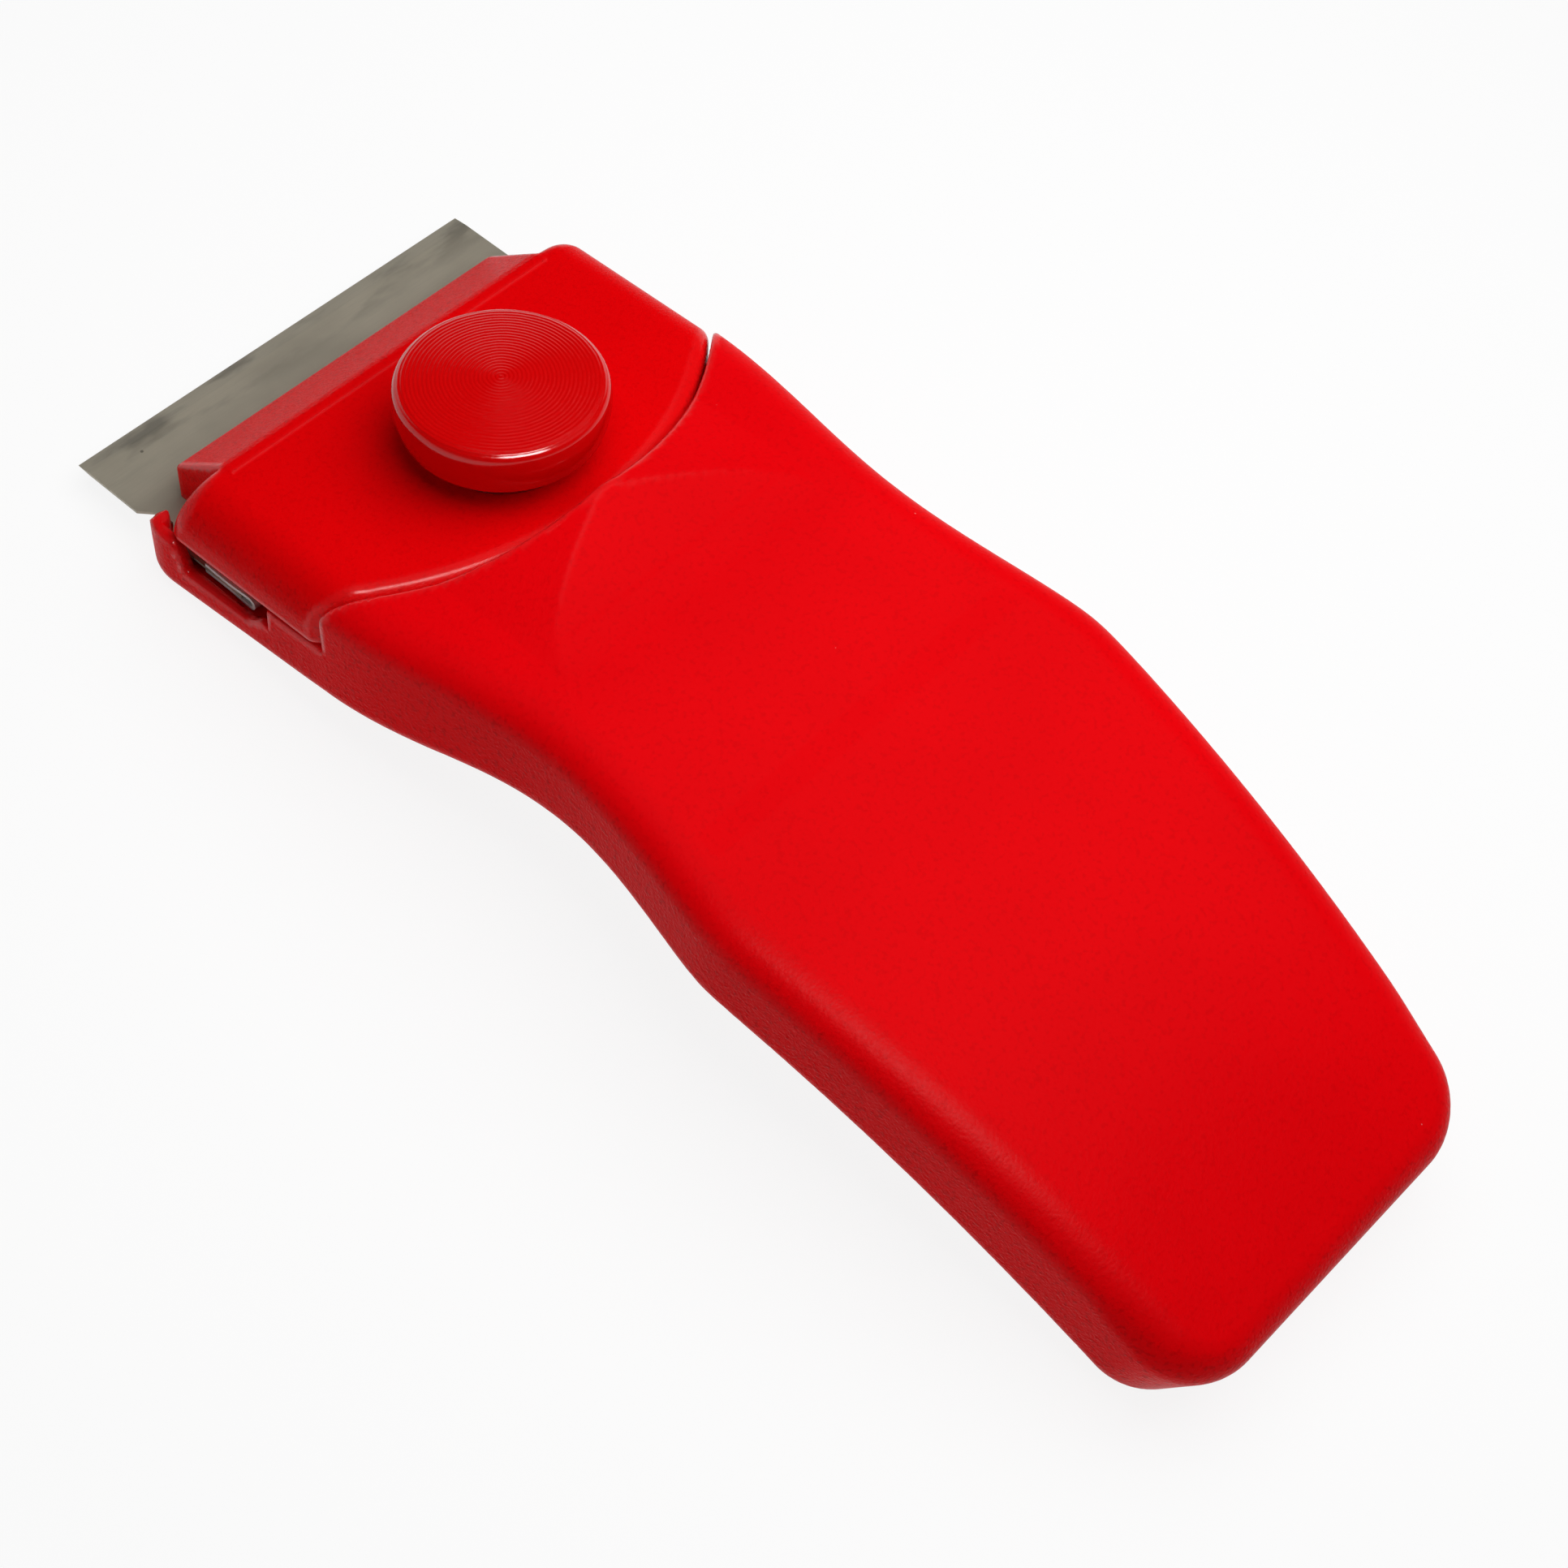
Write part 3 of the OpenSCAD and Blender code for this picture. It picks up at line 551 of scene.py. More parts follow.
MESH = SimpleNamespace(
    margin_low=1.3, margin_high=2.3, halvings=9, pull=0.12, settle_rounds=2, settle_reach=0.2,
    least_slope=0.05, inset=0.3, crease=math.radians(24),
)
WEAR = SimpleNamespace(reach=0.3, flat_turn=0.5, turn_run=1.2, least_slope=0.2)
# Where the tops count as smooth, which also keeps the painted shade of the pits off them.
POLISH_AND_LIGHT = SimpleNamespace(forward=1.2, rough_until=0.55, run=0.2)


def slope_of(field, points, step=0.01):
    """Slope of a field at points."""
    slope = np.empty_like(points)
    for axis in range(3):
        shift = np.zeros(3)
        shift[axis] = step
        slope[:, axis] = (field(points + shift) - field(points - shift)) / (2 * step)
    return slope


def unit(vectors):
    """Vectors of length one."""
    return vectors / np.maximum(np.linalg.norm(vectors, axis=1, keepdims=True), 1e-9)


def zero_between(field, start, end, at_start):
    """Points on the lines from start to end at which a field is zero."""
    low = np.zeros(len(start))
    high = np.ones(len(start))
    for _ in range(MESH.halvings):
        middle = (low + high) / 2
        value = field(start + middle[:, None] * (end - start))
        same = (value < 0) == (at_start < 0)
        low = np.where(same, middle, low)
        high = np.where(same, high, middle)
    return start + ((low + high) / 2)[:, None] * (end - start)


def skin(field, low, high, cell):
    """Points and quads of the surface of a field, with a point in each crossed cell on its creases."""
    before = MESH.margin_low * cell
    after = MESH.margin_high * cell
    grid = [np.arange(a - before, b + after, cell) for a, b in zip(low, high)]
    corner = np.stack(np.meshgrid(*grid, indexing="ij"), axis=-1)
    value = field(corner.reshape(-1, 3)).reshape(corner.shape[:3])
    cells = tuple(n - 1 for n in value.shape)
    owners, touches, slopes, quads = [], [], [], []
    for axis in range(3):
        step = np.eye(3, dtype=int)[axis]
        second = np.eye(3, dtype=int)[(axis + 1) % 3]
        third = np.eye(3, dtype=int)[(axis + 2) % 3]
        inside = value < 0
        ahead = np.roll(inside, -1, axis=axis)
        crossed = np.argwhere(inside != ahead)
        crossed = crossed[crossed[:, axis] < value.shape[axis] - 1]
        start = corner[tuple(crossed.T)]
        at_start = value[tuple(crossed.T)]
        touch = zero_between(field, start, corner[tuple((crossed + step).T)], at_start)
        slope = unit(slope_of(field, touch))
        ring = [crossed - second - third, crossed - third, crossed, crossed - second]
        ring = np.stack([np.ravel_multi_index(tuple(r.T), cells) for r in ring], axis=1)
        quads.append(np.where((at_start < 0)[:, None], ring, ring[:, ::-1]))
        for column in ring.T:
            owners.append(column)
            touches.append(touch)
            slopes.append(slope)
    names, owner = np.unique(np.concatenate(owners), return_inverse=True)
    touch = np.concatenate(touches)
    slope = np.concatenate(slopes)

    def gathered(weights):
        return np.bincount(owner, weights=weights, minlength=len(names))

    count = gathered(np.ones(len(owner)))
    middle = np.stack([gathered(touch[:, i]) / count for i in range(3)], axis=1)
    off = (slope * (touch - middle[owner])).sum(axis=1)
    normal_sum = np.empty((len(names), 3, 3))
    offset_sum = np.empty((len(names), 3))
    for i in range(3):
        offset_sum[:, i] = gathered(slope[:, i] * off)
        for j in range(3):
            normal_sum[:, i, j] = gathered(slope[:, i] * slope[:, j])
    normal_sum += MESH.pull * np.eye(3)
    points = middle + np.linalg.solve(normal_sum, offset_sum[:, :, None])[:, :, 0]
    origin = np.stack(np.unravel_index(names, cells), axis=1) * cell + [g[0] for g in grid]
    points = np.clip(points, origin, origin + cell)
    reach = MESH.settle_reach * cell
    for _ in range(MESH.settle_rounds):
        slope = slope_of(field, points)
        steep = np.maximum((slope * slope).sum(axis=1), MESH.least_slope)
        move = np.clip(field(points) / steep, -reach, reach)
        points = points - move[:, None] * slope
    return points, np.searchsorted(names, np.concatenate(quads))


def corner_normals(field, points, quads):
    """A normal for each corner of each quad, smooth over roundings and split at creases."""
    smooth = unit(slope_of(field, points))[quads]
    middle = points[quads].mean(axis=1, keepdims=True)
    inset = points[quads] + MESH.inset * (middle - points[quads])
    own = unit(slope_of(field, inset.reshape(-1, 3))).reshape(smooth.shape)
    agree = (smooth * own).sum(axis=2, keepdims=True) > math.cos(MESH.crease)
    return np.where(agree, smooth, own).reshape(-1, 3)


def edge_wear(field, points):
    """How sharply the surface turns outwards, from 0 on flats to 1 on edges."""
    total = -6 * field(points)
    for axis in range(3):
        shift = np.zeros(3)
        shift[axis] = WEAR.reach
        total = total + field(points + shift) + field(points - shift)
    steep = np.maximum(np.linalg.norm(slope_of(field, points), axis=1), WEAR.least_slope)
    turn = total / WEAR.reach**2 / steep
    return np.clip((turn - WEAR.flat_turn) / WEAR.turn_run, 0, 1)


def top_polish_and_light(field, points):
    """How smooth the mould left the surface, and how little painted shade its pits get: 1 on tops, 0 on
    sides and on faces that look forward.
    """
    facing = unit(slope_of(field, points))
    upward = facing[:, 2] + POLISH_AND_LIGHT.forward * np.minimum(facing[:, 1], 0)
    return ease(0, 1, (upward - POLISH_AND_LIGHT.rough_until) / POLISH_AND_LIGHT.run)


def marked(mesh, name, values):
    """Writes a value for each point of a mesh."""
    mesh.attributes.new(name, "FLOAT", "POINT").data.foreach_set("value", values)


def moulding(name, field, low, high, cell):
    """A mesh object of a field, moved from the head frame to its place, with its wear and its polish, which
    also sets where painted shade goes.
    """
    points, quads = skin(field, low, high, cell)
    place = np.array(HEAD)
    mesh = bpy.data.meshes.new(name)
    mesh.from_pydata(((points * MM) @ place[:3, :3].T + place[:3, 3]).tolist(), [], quads.tolist())
    marked(mesh, "edge_wear", edge_wear(field, points))
    marked(mesh, "polish_and_top_light", top_polish_and_light(field, points))
    mesh.polygons.foreach_set("use_smooth", np.ones(len(quads), bool))
    mesh.normals_split_custom_set((corner_normals(field, points, quads) @ place[:3, :3].T).tolist())
    mesh.update()
    return linked(name, mesh)


def linked(name, mesh):
    """A new object of a mesh, in the scene."""
    piece = bpy.data.objects.new(name, mesh)
    bpy.context.scene.collection.objects.link(piece)
    return piece


def fitted(piece, node, body, material=None):
    """The finished piece in place of its CAD node."""
    if material is not None:
        piece.data.materials.clear()
        piece.data.materials.append(material)
    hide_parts(node)
    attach(piece, body)
    return piece


def dressed(node, material):
    """A CAD node with a better finish."""
    piece = frame["nodes"][node]
    if piece.material_slots:
        piece.material_slots[0].material = material
    else:
        piece.data.materials.append(material)
    return piece


# Node sheets

class Signal:
    """A socket's value: arithmetic on it adds Math nodes."""

    def __init__(self, sheet, socket):
        self.sheet = sheet
        self.socket = socket

    def output(self, key):
        """Another output of the same node."""
        return Signal(self.sheet, picked(self.socket.node.outputs, key))

    def math(self, operation, *values):
        """The result of a Math node."""
        sockets = dict(enumerate(values))
        return self.sheet.add("ShaderNodeMath", {"operation": operation}, sockets)

    def __add__(self, other):
        return self.math("ADD", self, other)

    def __radd__(self, other):
        return self.math("ADD", other, self)

    def __sub__(self, other):
        return self.math("SUBTRACT", self, other)

    def __rsub__(self, other):
        return self.math("SUBTRACT", other, self)

    def __mul__(self, other):
        return self.math("MULTIPLY", self, other)

    def __rmul__(self, other):
        return self.math("MULTIPLY", other, self)

    def sine(self):
        """The sine of the value."""
        return self.math("SINE", self)

    def cosine(self):
        """The cosine of the value."""
        return self.math("COSINE", self)

    def whole(self):
        """The nearest whole number."""
        return self.math("ROUND", self)

    def largest(self, other):
        """The larger of two values."""
        return self.math("MAXIMUM", self, other)

    def ramp(self, low, high):
        """From 0 at low to 1 at high, with soft ends."""
        sockets = {"Value": self, "From Min": low, "From Max": high}
        return self.sheet.add("ShaderNodeMapRange", {"interpolation_type": "SMOOTHSTEP"}, sockets)


def picked(sockets, key):
    """A socket by its place, or the one in use of that name."""
    if isinstance(key, int):
        return sockets[key]
    return next(s for s in sockets if s.name == key and s.enabled)


def node_of(tree, kind):
    """The first node of a kind in a tree."""
    return next(node for node in tree.nodes if node.type == kind)


class Sheet:
    """A node tree that is filled by calls."""

    def __init__(self, tree):
        self.tree = tree

    def add(self, kind, options=None, sockets=None, output=None):
        """A new node with its options, then its socket values or links; gives one of its outputs."""
        node = self.tree.nodes.new(kind)
        for name, value in (options or {}).items():
            setattr(node, name, value)
        for key, value in (sockets or {}).items():
            socket = picked(node.inputs, key)
            if isinstance(value, Signal):
                self.tree.links.new(value.socket, socket)
            else:
                socket.default_value = value
        if not node.outputs:
            return None
        if output is None:
            return Signal(self, next(s for s in node.outputs if s.enabled))
        return Signal(self, picked(node.outputs, output))

    def place(self):
        """Where a point of the piece lies."""
        return self.add("ShaderNodeTexCoord", output="Object")

    def in_head(self, place, origin):
        """A place seen from an origin along the axes of the head frame."""
        axes = {"Vector": place, "Location": origin, "Rotation": (HEAD_TURN, 0, 0)}
        return self.add("ShaderNodeMapping", {"vector_type": "TEXTURE"}, axes)

    def parts(self, vector):
        """The X part of a vector, with Y and Z as the node's other outputs."""
        return self.add("ShaderNodeSeparateXYZ", sockets={"Vector": vector})

    def stretched(self, vector, factors):
        """A vector times a factor along each axis."""
        return self.add("ShaderNodeVectorMath", {"operation": "MULTIPLY"}, {0: vector, 1: factors})

    def noise(self, place, size, detail=2.0, stretch=None):
        """Noise with features of a size in millimetres, drawn out along the axes if asked."""
        if stretch is not None:
            place = self.stretched(place, stretch)
        sockets = {"Vector": place, "Scale": 1 / (size * MM), "Detail": detail, "Roughness": 0.5}
        return self.add("ShaderNodeTexNoise", {"noise_dimensions": "3D"}, sockets, output=0)

    def specks(self, place, spacing, radius, share_shown):
        """Small round specks in a share of the cells, 1 inside and 0 outside; sizes in millimetres."""
        sockets = {"Vector": place, "Scale": 1 / (spacing * MM)}
        cells = self.add("ShaderNodeTexVoronoi", {"feature": "F1"}, sockets)
        lot = self.add("ShaderNodeSeparateColor", sockets={"Color": cells.output("Color")})
        soft_from = 0.6
        rim = radius / spacing
        spot = 1 - cells.ramp(rim * soft_from, rim)
        return spot * lot.ramp(1 - share_shown, 1 - share_shown + 0.01)

    def bump(self, height, depth, strength=1.0):
        """The normal of a height, which is a depth in millimetres at 1."""
        sockets = {"Strength": strength, "Distance": depth * MM, "Height": height}
        return self.add("ShaderNodeBump", sockets=sockets)

    def mix(self, amount, first, second):
        """A colour between two colours."""
        sockets = {"Factor": amount, "A": first, "B": second}
        return self.add("ShaderNodeMix", {"data_type": "RGBA"}, sockets)


def surface(name, constants):
    """A material with its shader, whose constant sockets are set; gives the material, sheet and shader."""
    material = bpy.data.materials.new(name)
    material.use_nodes = True
    shader = node_of(material.node_tree, "BSDF_PRINCIPLED")
    for key, value in constants.items():
        shader.inputs[key].default_value = value
    return material, Sheet(material.node_tree), shader


def wired(sheet, shader, **signals):
    """Links what varies over the surface to the shader."""
    for key, signal in signals.items():
        sheet.tree.links.new(signal.socket, shader.inputs[key.replace("_", " ").title()])


def darker(colour, amount):
    """A colour times an amount."""
    return (*[channel * amount for channel in colour[:3]], 1)


def paler(colour, amount):
    """A colour part of the way to a light grey."""
    light_grey = 0.75
    return (*[blend(channel, light_grey, amount) for channel in colour[:3]], 1)


# Finishes: sizes in millimetres, the rest plain factors

# The pits' darkening is partly the grain's own colour and partly painted shade on sides and faces that look
# forward.
PLASTIC = SimpleNamespace(
    coarse=1.6, cloud=16.0, top_smooth=0.6, turned_grain=0.1, dust_gap=2.6, dust_r=0.08, dust_share=0.08,
    cloud_shade=0.94, pit_and_wall_shade_level=0.5, pit_and_wall_shade_amount=0.42, edge_pale=0.06, dust_pale=0.4,
    grain_rough=0.3, cloud_rough=0.06, edge_gloss=0.14, edge_coat=0.5, coat_rough=0.16,
)
RINGS = SimpleNamespace(height=0.95, wobble=0.9, wobble_turn=1.6, start=0.25, full=0.05)
BLADE = SimpleNamespace(
    line=0.12, cloud=5.0, smear=2.4, smear_from=0.8, smear_to=4.2, ground_from=0.95, ground_to=1.15,
    stain_gap=3.1, stain_r=0.16, stain_share=0.2, rough=0.42, depth=0.006,
)
METAL = SimpleNamespace(line=0.1, cloud=3.0, spot_gap=1.7, spot_r=0.1, spot_share=0.25, depth=0.008)


def spark_plastic(name, colour, rough, grain, depth, index=1.08, turned=None):
    """Moulded plastic with a spark-eroded grain, smoother tops, a little dust and painted shade through
    darker pits on sides and forward faces; turned rings if asked.
    """
    look = PLASTIC
    material, sheet, shader = surface(name, {"IOR": index, "Coat Roughness": look.coat_rough})
    place = sheet.place()
    fine = sheet.noise(place, grain, 1.5)
    coarse = sheet.noise(place, grain * look.coarse, 1.0)
    cloud = sheet.noise(place, look.cloud, 3.0)
    worn = sheet.add("ShaderNodeAttribute", {"attribute_name": "edge_wear"}, output="Fac")
    polish_and_top_light = sheet.add("ShaderNodeAttribute", {"attribute_name": "polish_and_top_light"}, output="Fac")
    # Sides and faces that look forward get more grain, and the darker pits there are partly painted shade.
    grain_and_wall_shade = 1 - polish_and_top_light * look.top_smooth if turned is None else look.turned_grain
    dust = sheet.specks(place, look.dust_gap, look.dust_r, look.dust_share)
    shade = sheet.mix(cloud.ramp(0.3, 0.7), darker(colour, look.cloud_shade), colour)
    # Darker pits: partly the grain's own colour, partly painted shade that darkens the walls more than the
    # tops.
    pits_and_wall_shade = coarse.ramp(0.5, 0.75) * grain_and_wall_shade
    shade = sheet.mix(pits_and_wall_shade * look.pit_and_wall_shade_amount, shade, darker(colour, look.pit_and_wall_shade_level))
    shade = sheet.mix(worn * look.edge_pale, shade, paler(colour, 0.2))
    shade = sheet.mix(dust * look.dust_pale, shade, paler(colour, 0.5))
    uneven = (fine - 0.5) * look.grain_rough + (cloud - 0.5) * look.cloud_rough
    roughness = rough + uneven - worn * look.edge_gloss
    height = (fine * 0.6 + coarse * 0.4) * grain_and_wall_shade
    if turned is not None:
        on_top, ring = turned_rings(sheet, place, turned)
        height = height * (1 - on_top) + ring * on_top * RINGS.height
    coat = worn * look.edge_coat
    normal = sheet.bump(height, depth)
    wired(sheet, shader, base_color=shade, roughness=roughness, coat_weight=coat, normal=normal)
    return material


def turned_rings(sheet, place, k):
    """Where the knob's top is, and the waves of the rings that the turning left on it."""
    own = sheet.in_head(place, KNOB_FOOT)
    edge_z = k.low_z + k.hub_h + k.disc_h
    on_top = sheet.parts(own).output("Z").ramp((edge_z - RINGS.start) * MM, (edge_z - RINGS.full) * MM)
    flat = sheet.stretched(own, (1, 1, 0))
    radius = sheet.add("ShaderNodeVectorMath", {"operation": "LENGTH"}, {0: flat}, output="Value")
    wobble = sheet.noise(place, RINGS.wobble, 1.0)
    turns = radius * (2 * math.pi / (k.ring_pitch * MM))
    return on_top, (turns + wobble * RINGS.wobble_turn).sine()


def blade_steel(name, colour):
    """Ground strip steel: fine lines along the edge, smears near it and small stains."""
    look = BLADE
    material, sheet, shader = surface(name, {"Metallic": 0.4})
    place = sheet.place()
    lines = sheet.noise(place, look.line, 2.0, (0.04, 1, 1))
    cloud = sheet.noise(place, look.cloud, 3.0, (0.6, 1, 1))
    from_edge = sheet.parts(sheet.in_head(place, HEAD.to_translation())).output("Y")
    near_edge = 1 - from_edge.ramp(look.smear_from * MM, look.smear_to * MM)
    ground = 1 - from_edge.ramp(look.ground_from * MM, look.ground_to * MM)
    smear = sheet.noise(place, look.smear, 3.0, (0.35, 1.2, 1)).ramp(0.46, 0.66) * near_edge
    stain = sheet.specks(place, look.stain_gap, look.stain_r, look.stain_share)
    shade = sheet.mix(cloud.ramp(0.3, 0.7), darker(colour, 0.78), colour)
    shade = sheet.mix(lines.ramp(0.35, 0.75) * 0.35, shade, darker(colour, 0.8))
    shade = sheet.mix(smear * 0.9, shade, darker(colour, 0.35))
    shade = sheet.mix(stain * 0.8, shade, darker(colour, 0.25))
    shade = sheet.mix(ground * 0.06, shade, paler(colour, 0.4))
    roughness = look.rough + (lines - 0.5) * 0.14 + smear * 0.2 - ground * 0.04
    normal = sheet.bump(lines * 0.8 + cloud * 0.4, look.depth, strength=0.6)
    wired(sheet, shader, base_color=shade, roughness=roughness, normal=normal)
    return material


def drawn_metal(name, colour, rough, metallic=1.0):
    """Plain drawn metal with fine lines along its length and a few dull patches."""
    look = METAL
    material, sheet, shader = surface(name, {"Metallic": metallic})
    place = sheet.place()
    lines = sheet.noise(place, look.line, 2.0, (0.08, 1, 1))
    cloud = sheet.noise(place, look.cloud, 3.0)
    spot = sheet.specks(place, look.spot_gap, look.spot_r, look.spot_share)
    shade = sheet.mix(cloud.ramp(0.35, 0.7), colour, darker(colour, 0.78))
    shade = sheet.mix(spot * 0.6, shade, darker(colour, 0.4))
    roughness = rough + (lines - 0.5) * 0.18 + cloud.ramp(0.5, 0.75) * 0.1
    normal = sheet.bump(lines, look.depth, strength=0.5)
    wired(sheet, shader, base_color=shade, roughness=roughness, normal=normal)
    return material


# Geometry Nodes

MERGE = 1e-6


class Group(Sheet):
    """A Geometry Nodes tree with named inputs."""

    def __init__(self, name, inputs):
        tree = bpy.data.node_groups.new(name, "GeometryNodeTree")
        super().__init__(tree)
        for label, kind in inputs.items():
            tree.interface.new_socket(name=label, in_out="INPUT", socket_type="NodeSocket" + kind)
        tree.interface.new_socket(name="Geometry", in_out="OUTPUT", socket_type="NodeSocketGeometry")
        self.given = tree.nodes.new("NodeGroupInput")

    def input(self, label):
        """One of the group's inputs."""
        return Signal(self, picked(self.given.outputs, label))

    def close(self, shape):
        """Ends the tree with real geometry in the given material."""
        real = self.add("GeometryNodeRealizeInstances", sockets={"Geometry": shape})
        painted = {"Geometry": real, "Material": self.input("Material")}
        self.add("NodeGroupOutput", sockets={0: self.add("GeometryNodeSetMaterial", sockets=painted)})

    def made(self, name, mesh, values):
        """The plain mesh that the tree makes of a starting mesh."""
        holder = linked(name + "_start", mesh)
        modifier = holder.modifiers.new(self.tree.name, "NODES")
        modifier.node_group = self.tree
        for item in self.tree.interface.items_tree:
            if item.item_type == "SOCKET" and item.in_out == "INPUT" and item.name in values:
                modifier[item.identifier] = values[item.name]
        graph = bpy.context.evaluated_depsgraph_get()
        result = bpy.data.meshes.new_from_object(holder.evaluated_get(graph), depsgraph=graph)
        result.name = name
        holder.modifiers.remove(modifier)
        bpy.data.objects.remove(holder)
        if not result.polygons:
            raise RuntimeError("the tree made no faces for " + name)
        return result


def lathe_group():
    """A tree that turns a line of points, radius along X and height along Z, about the Z axis."""
    inputs = {"Profile": "Geometry", "Points": "Int", "Segments": "Int", "Material": "Material"}
    group = Group("Turned shape", inputs)
    points = group.input("Points")
    around = group.input("Segments") + 1
    flat = {"Size X": 1.0, "Size Y": 1.0, "Vertices X": points, "Vertices Y": around}
    grid = group.add("GeometryNodeMeshGrid", sockets=flat, output="Mesh")
    place = group.add("GeometryNodeInputPosition")
    parts = group.parts(place)
    column = ((parts.output("X") + 0.5) * (points - 1)).whole()
    angle = (parts.output("Y") + 0.5) * (2 * math.pi)
    sample = {"Geometry": group.input("Profile"), "Value": place, "Index": column}
    taken = {"data_type": "FLOAT_VECTOR", "domain": "POINT"}
    drawn = group.parts(group.add("GeometryNodeSampleIndex", taken, sample))
    radius = drawn.output("X")
    turned = {"X": radius * angle.cosine(), "Y": radius * angle.sine(), "Z": drawn.output("Z")}
    spot = group.add("ShaderNodeCombineXYZ", sockets=turned)
    shape = group.add("GeometryNodeSetPosition", sockets={"Geometry": grid, "Position": spot})
    group.close(group.add("GeometryNodeMergeByDistance", sockets={"Geometry": shape, "Distance": MERGE}))
    return group


def prism_group():
    """A tree that fills a closed outline in XY and draws it out along Z."""
    group = Group("Drawn section", {"Outline": "Geometry", "Length": "Float", "Material": "Material"})
    curve = group.add("GeometryNodeMeshToCurve", sockets={0: group.input("Outline")})
    face = group.add("GeometryNodeFillCurve", sockets={0: curve})
    offset = group.add("ShaderNodeCombineXYZ", sockets={"Z": group.input("Length")})
    drawn = {"Mesh": face, "Offset": offset, "Offset Scale": 1.0, "Individual": False}
    body = group.add("GeometryNodeExtrudeMesh", {"mode": "FACES"}, drawn, output="Mesh")
    back = group.add("GeometryNodeFlipFaces", sockets={"Mesh": face})
    both = group.add("GeometryNodeJoinGeometry", sockets={0: body})
    group.tree.links.new(back.socket, both.socket.node.inputs[0])
    group.close(group.add("GeometryNodeMergeByDistance", sockets={"Geometry": both, "Distance": MERGE}))
    return group


def screw_group():
    """A tree that stands a slotted screw on each point, leaning with the arch."""
    sizes = ("Shank Radius", "Shank Length", "Head Radius", "Head Height", "Slot Width")
    inputs = {"Stations": "Geometry", **dict.fromkeys(sizes, "Float"), "Material": "Material"}
    group = Group("Cover screws", inputs)
    shank_r, shank_len, head_r, head_h, slot_w = [group.input(size) for size in sizes]
    bevel_r = 0.86
    bevel_h = 0.3
    slot_h = 0.9
    tip_r = 0.35
    tip_len = 0.5 * MM
    overlap = 0.05 * MM

    def cone(bottom, top, height):
        size = {"Vertices": 48, "Radius Bottom": bottom, "Radius Top": top, "Depth": height}
        return group.add("GeometryNodeMeshCone", {"fill_type": "NGON"}, size, output="Mesh")

    def raised(shape, height):
        up = group.add("ShaderNodeCombineXYZ", sockets={"Z": height})
        return group.add("GeometryNodeTransform", sockets={"Geometry": shape, "Translation": up})

    rim = raised(cone(head_r * bevel_r, head_r, head_h * bevel_h), head_h * -1)
    disc = raised(cone(head_r, head_r, head_h * (1 - bevel_h)), head_h * (bevel_h - 1))
    shank = raised(cone(shank_r, shank_r, shank_len), -overlap)
    tip = raised(cone(shank_r, shank_r * tip_r, tip_len), shank_len - overlap)
    size = {"X": head_r * 3, "Y": slot_w, "Z": head_h * slot_h}
    size = group.add("ShaderNodeCombineXYZ", sockets=size)
    slot = raised(group.add("GeometryNodeMeshCube", sockets={"Size": size}, output="Mesh"), head_h * -1)
    whole = group.add("GeometryNodeMeshBoolean", {"operation": "UNION"}, {1: rim}, output="Mesh")
    for part in (disc, shank, tip):
        group.tree.links.new(part.socket, whole.socket.node.inputs[1])
    slotted = {0: whole, 1: slot}
    screw = group.add("GeometryNodeMeshBoolean", {"operation": "DIFFERENCE"}, slotted, output="Mesh")
    lean = group.add("GeometryNodeInputNamedAttribute", {"data_type": "FLOAT"}, {"Name": "lean"})
    turn = group.add("ShaderNodeCombineXYZ", sockets={"X": lean * -1})
    turn = group.add("FunctionNodeEulerToRotation", sockets={0: turn})
    points = group.add("GeometryNodeMeshToPoints", sockets={"Mesh": group.input("Stations")})
    stood = {"Points": points, "Instance": screw, "Rotation": turn}
    group.close(group.add("GeometryNodeInstanceOnPoints", sockets=stood))
    return group


def polyline(name, points, closed=False):
    """A mesh of points joined in a row."""
    mesh = bpy.data.meshes.new(name)
    last = [(len(points) - 1, 0)] if closed else []
    mesh.from_pydata(points, [(i, i + 1) for i in range(len(points) - 1)] + last, [])
    return mesh


def arc(centre, radius, start, end, steps):
    """Points of an arc, from a start to an end angle in radians."""
    angles = [blend(start, end, i / steps) for i in range(steps + 1)]
    return [(centre[0] + radius * math.cos(a), centre[1] + radius * math.sin(a)) for a in angles]


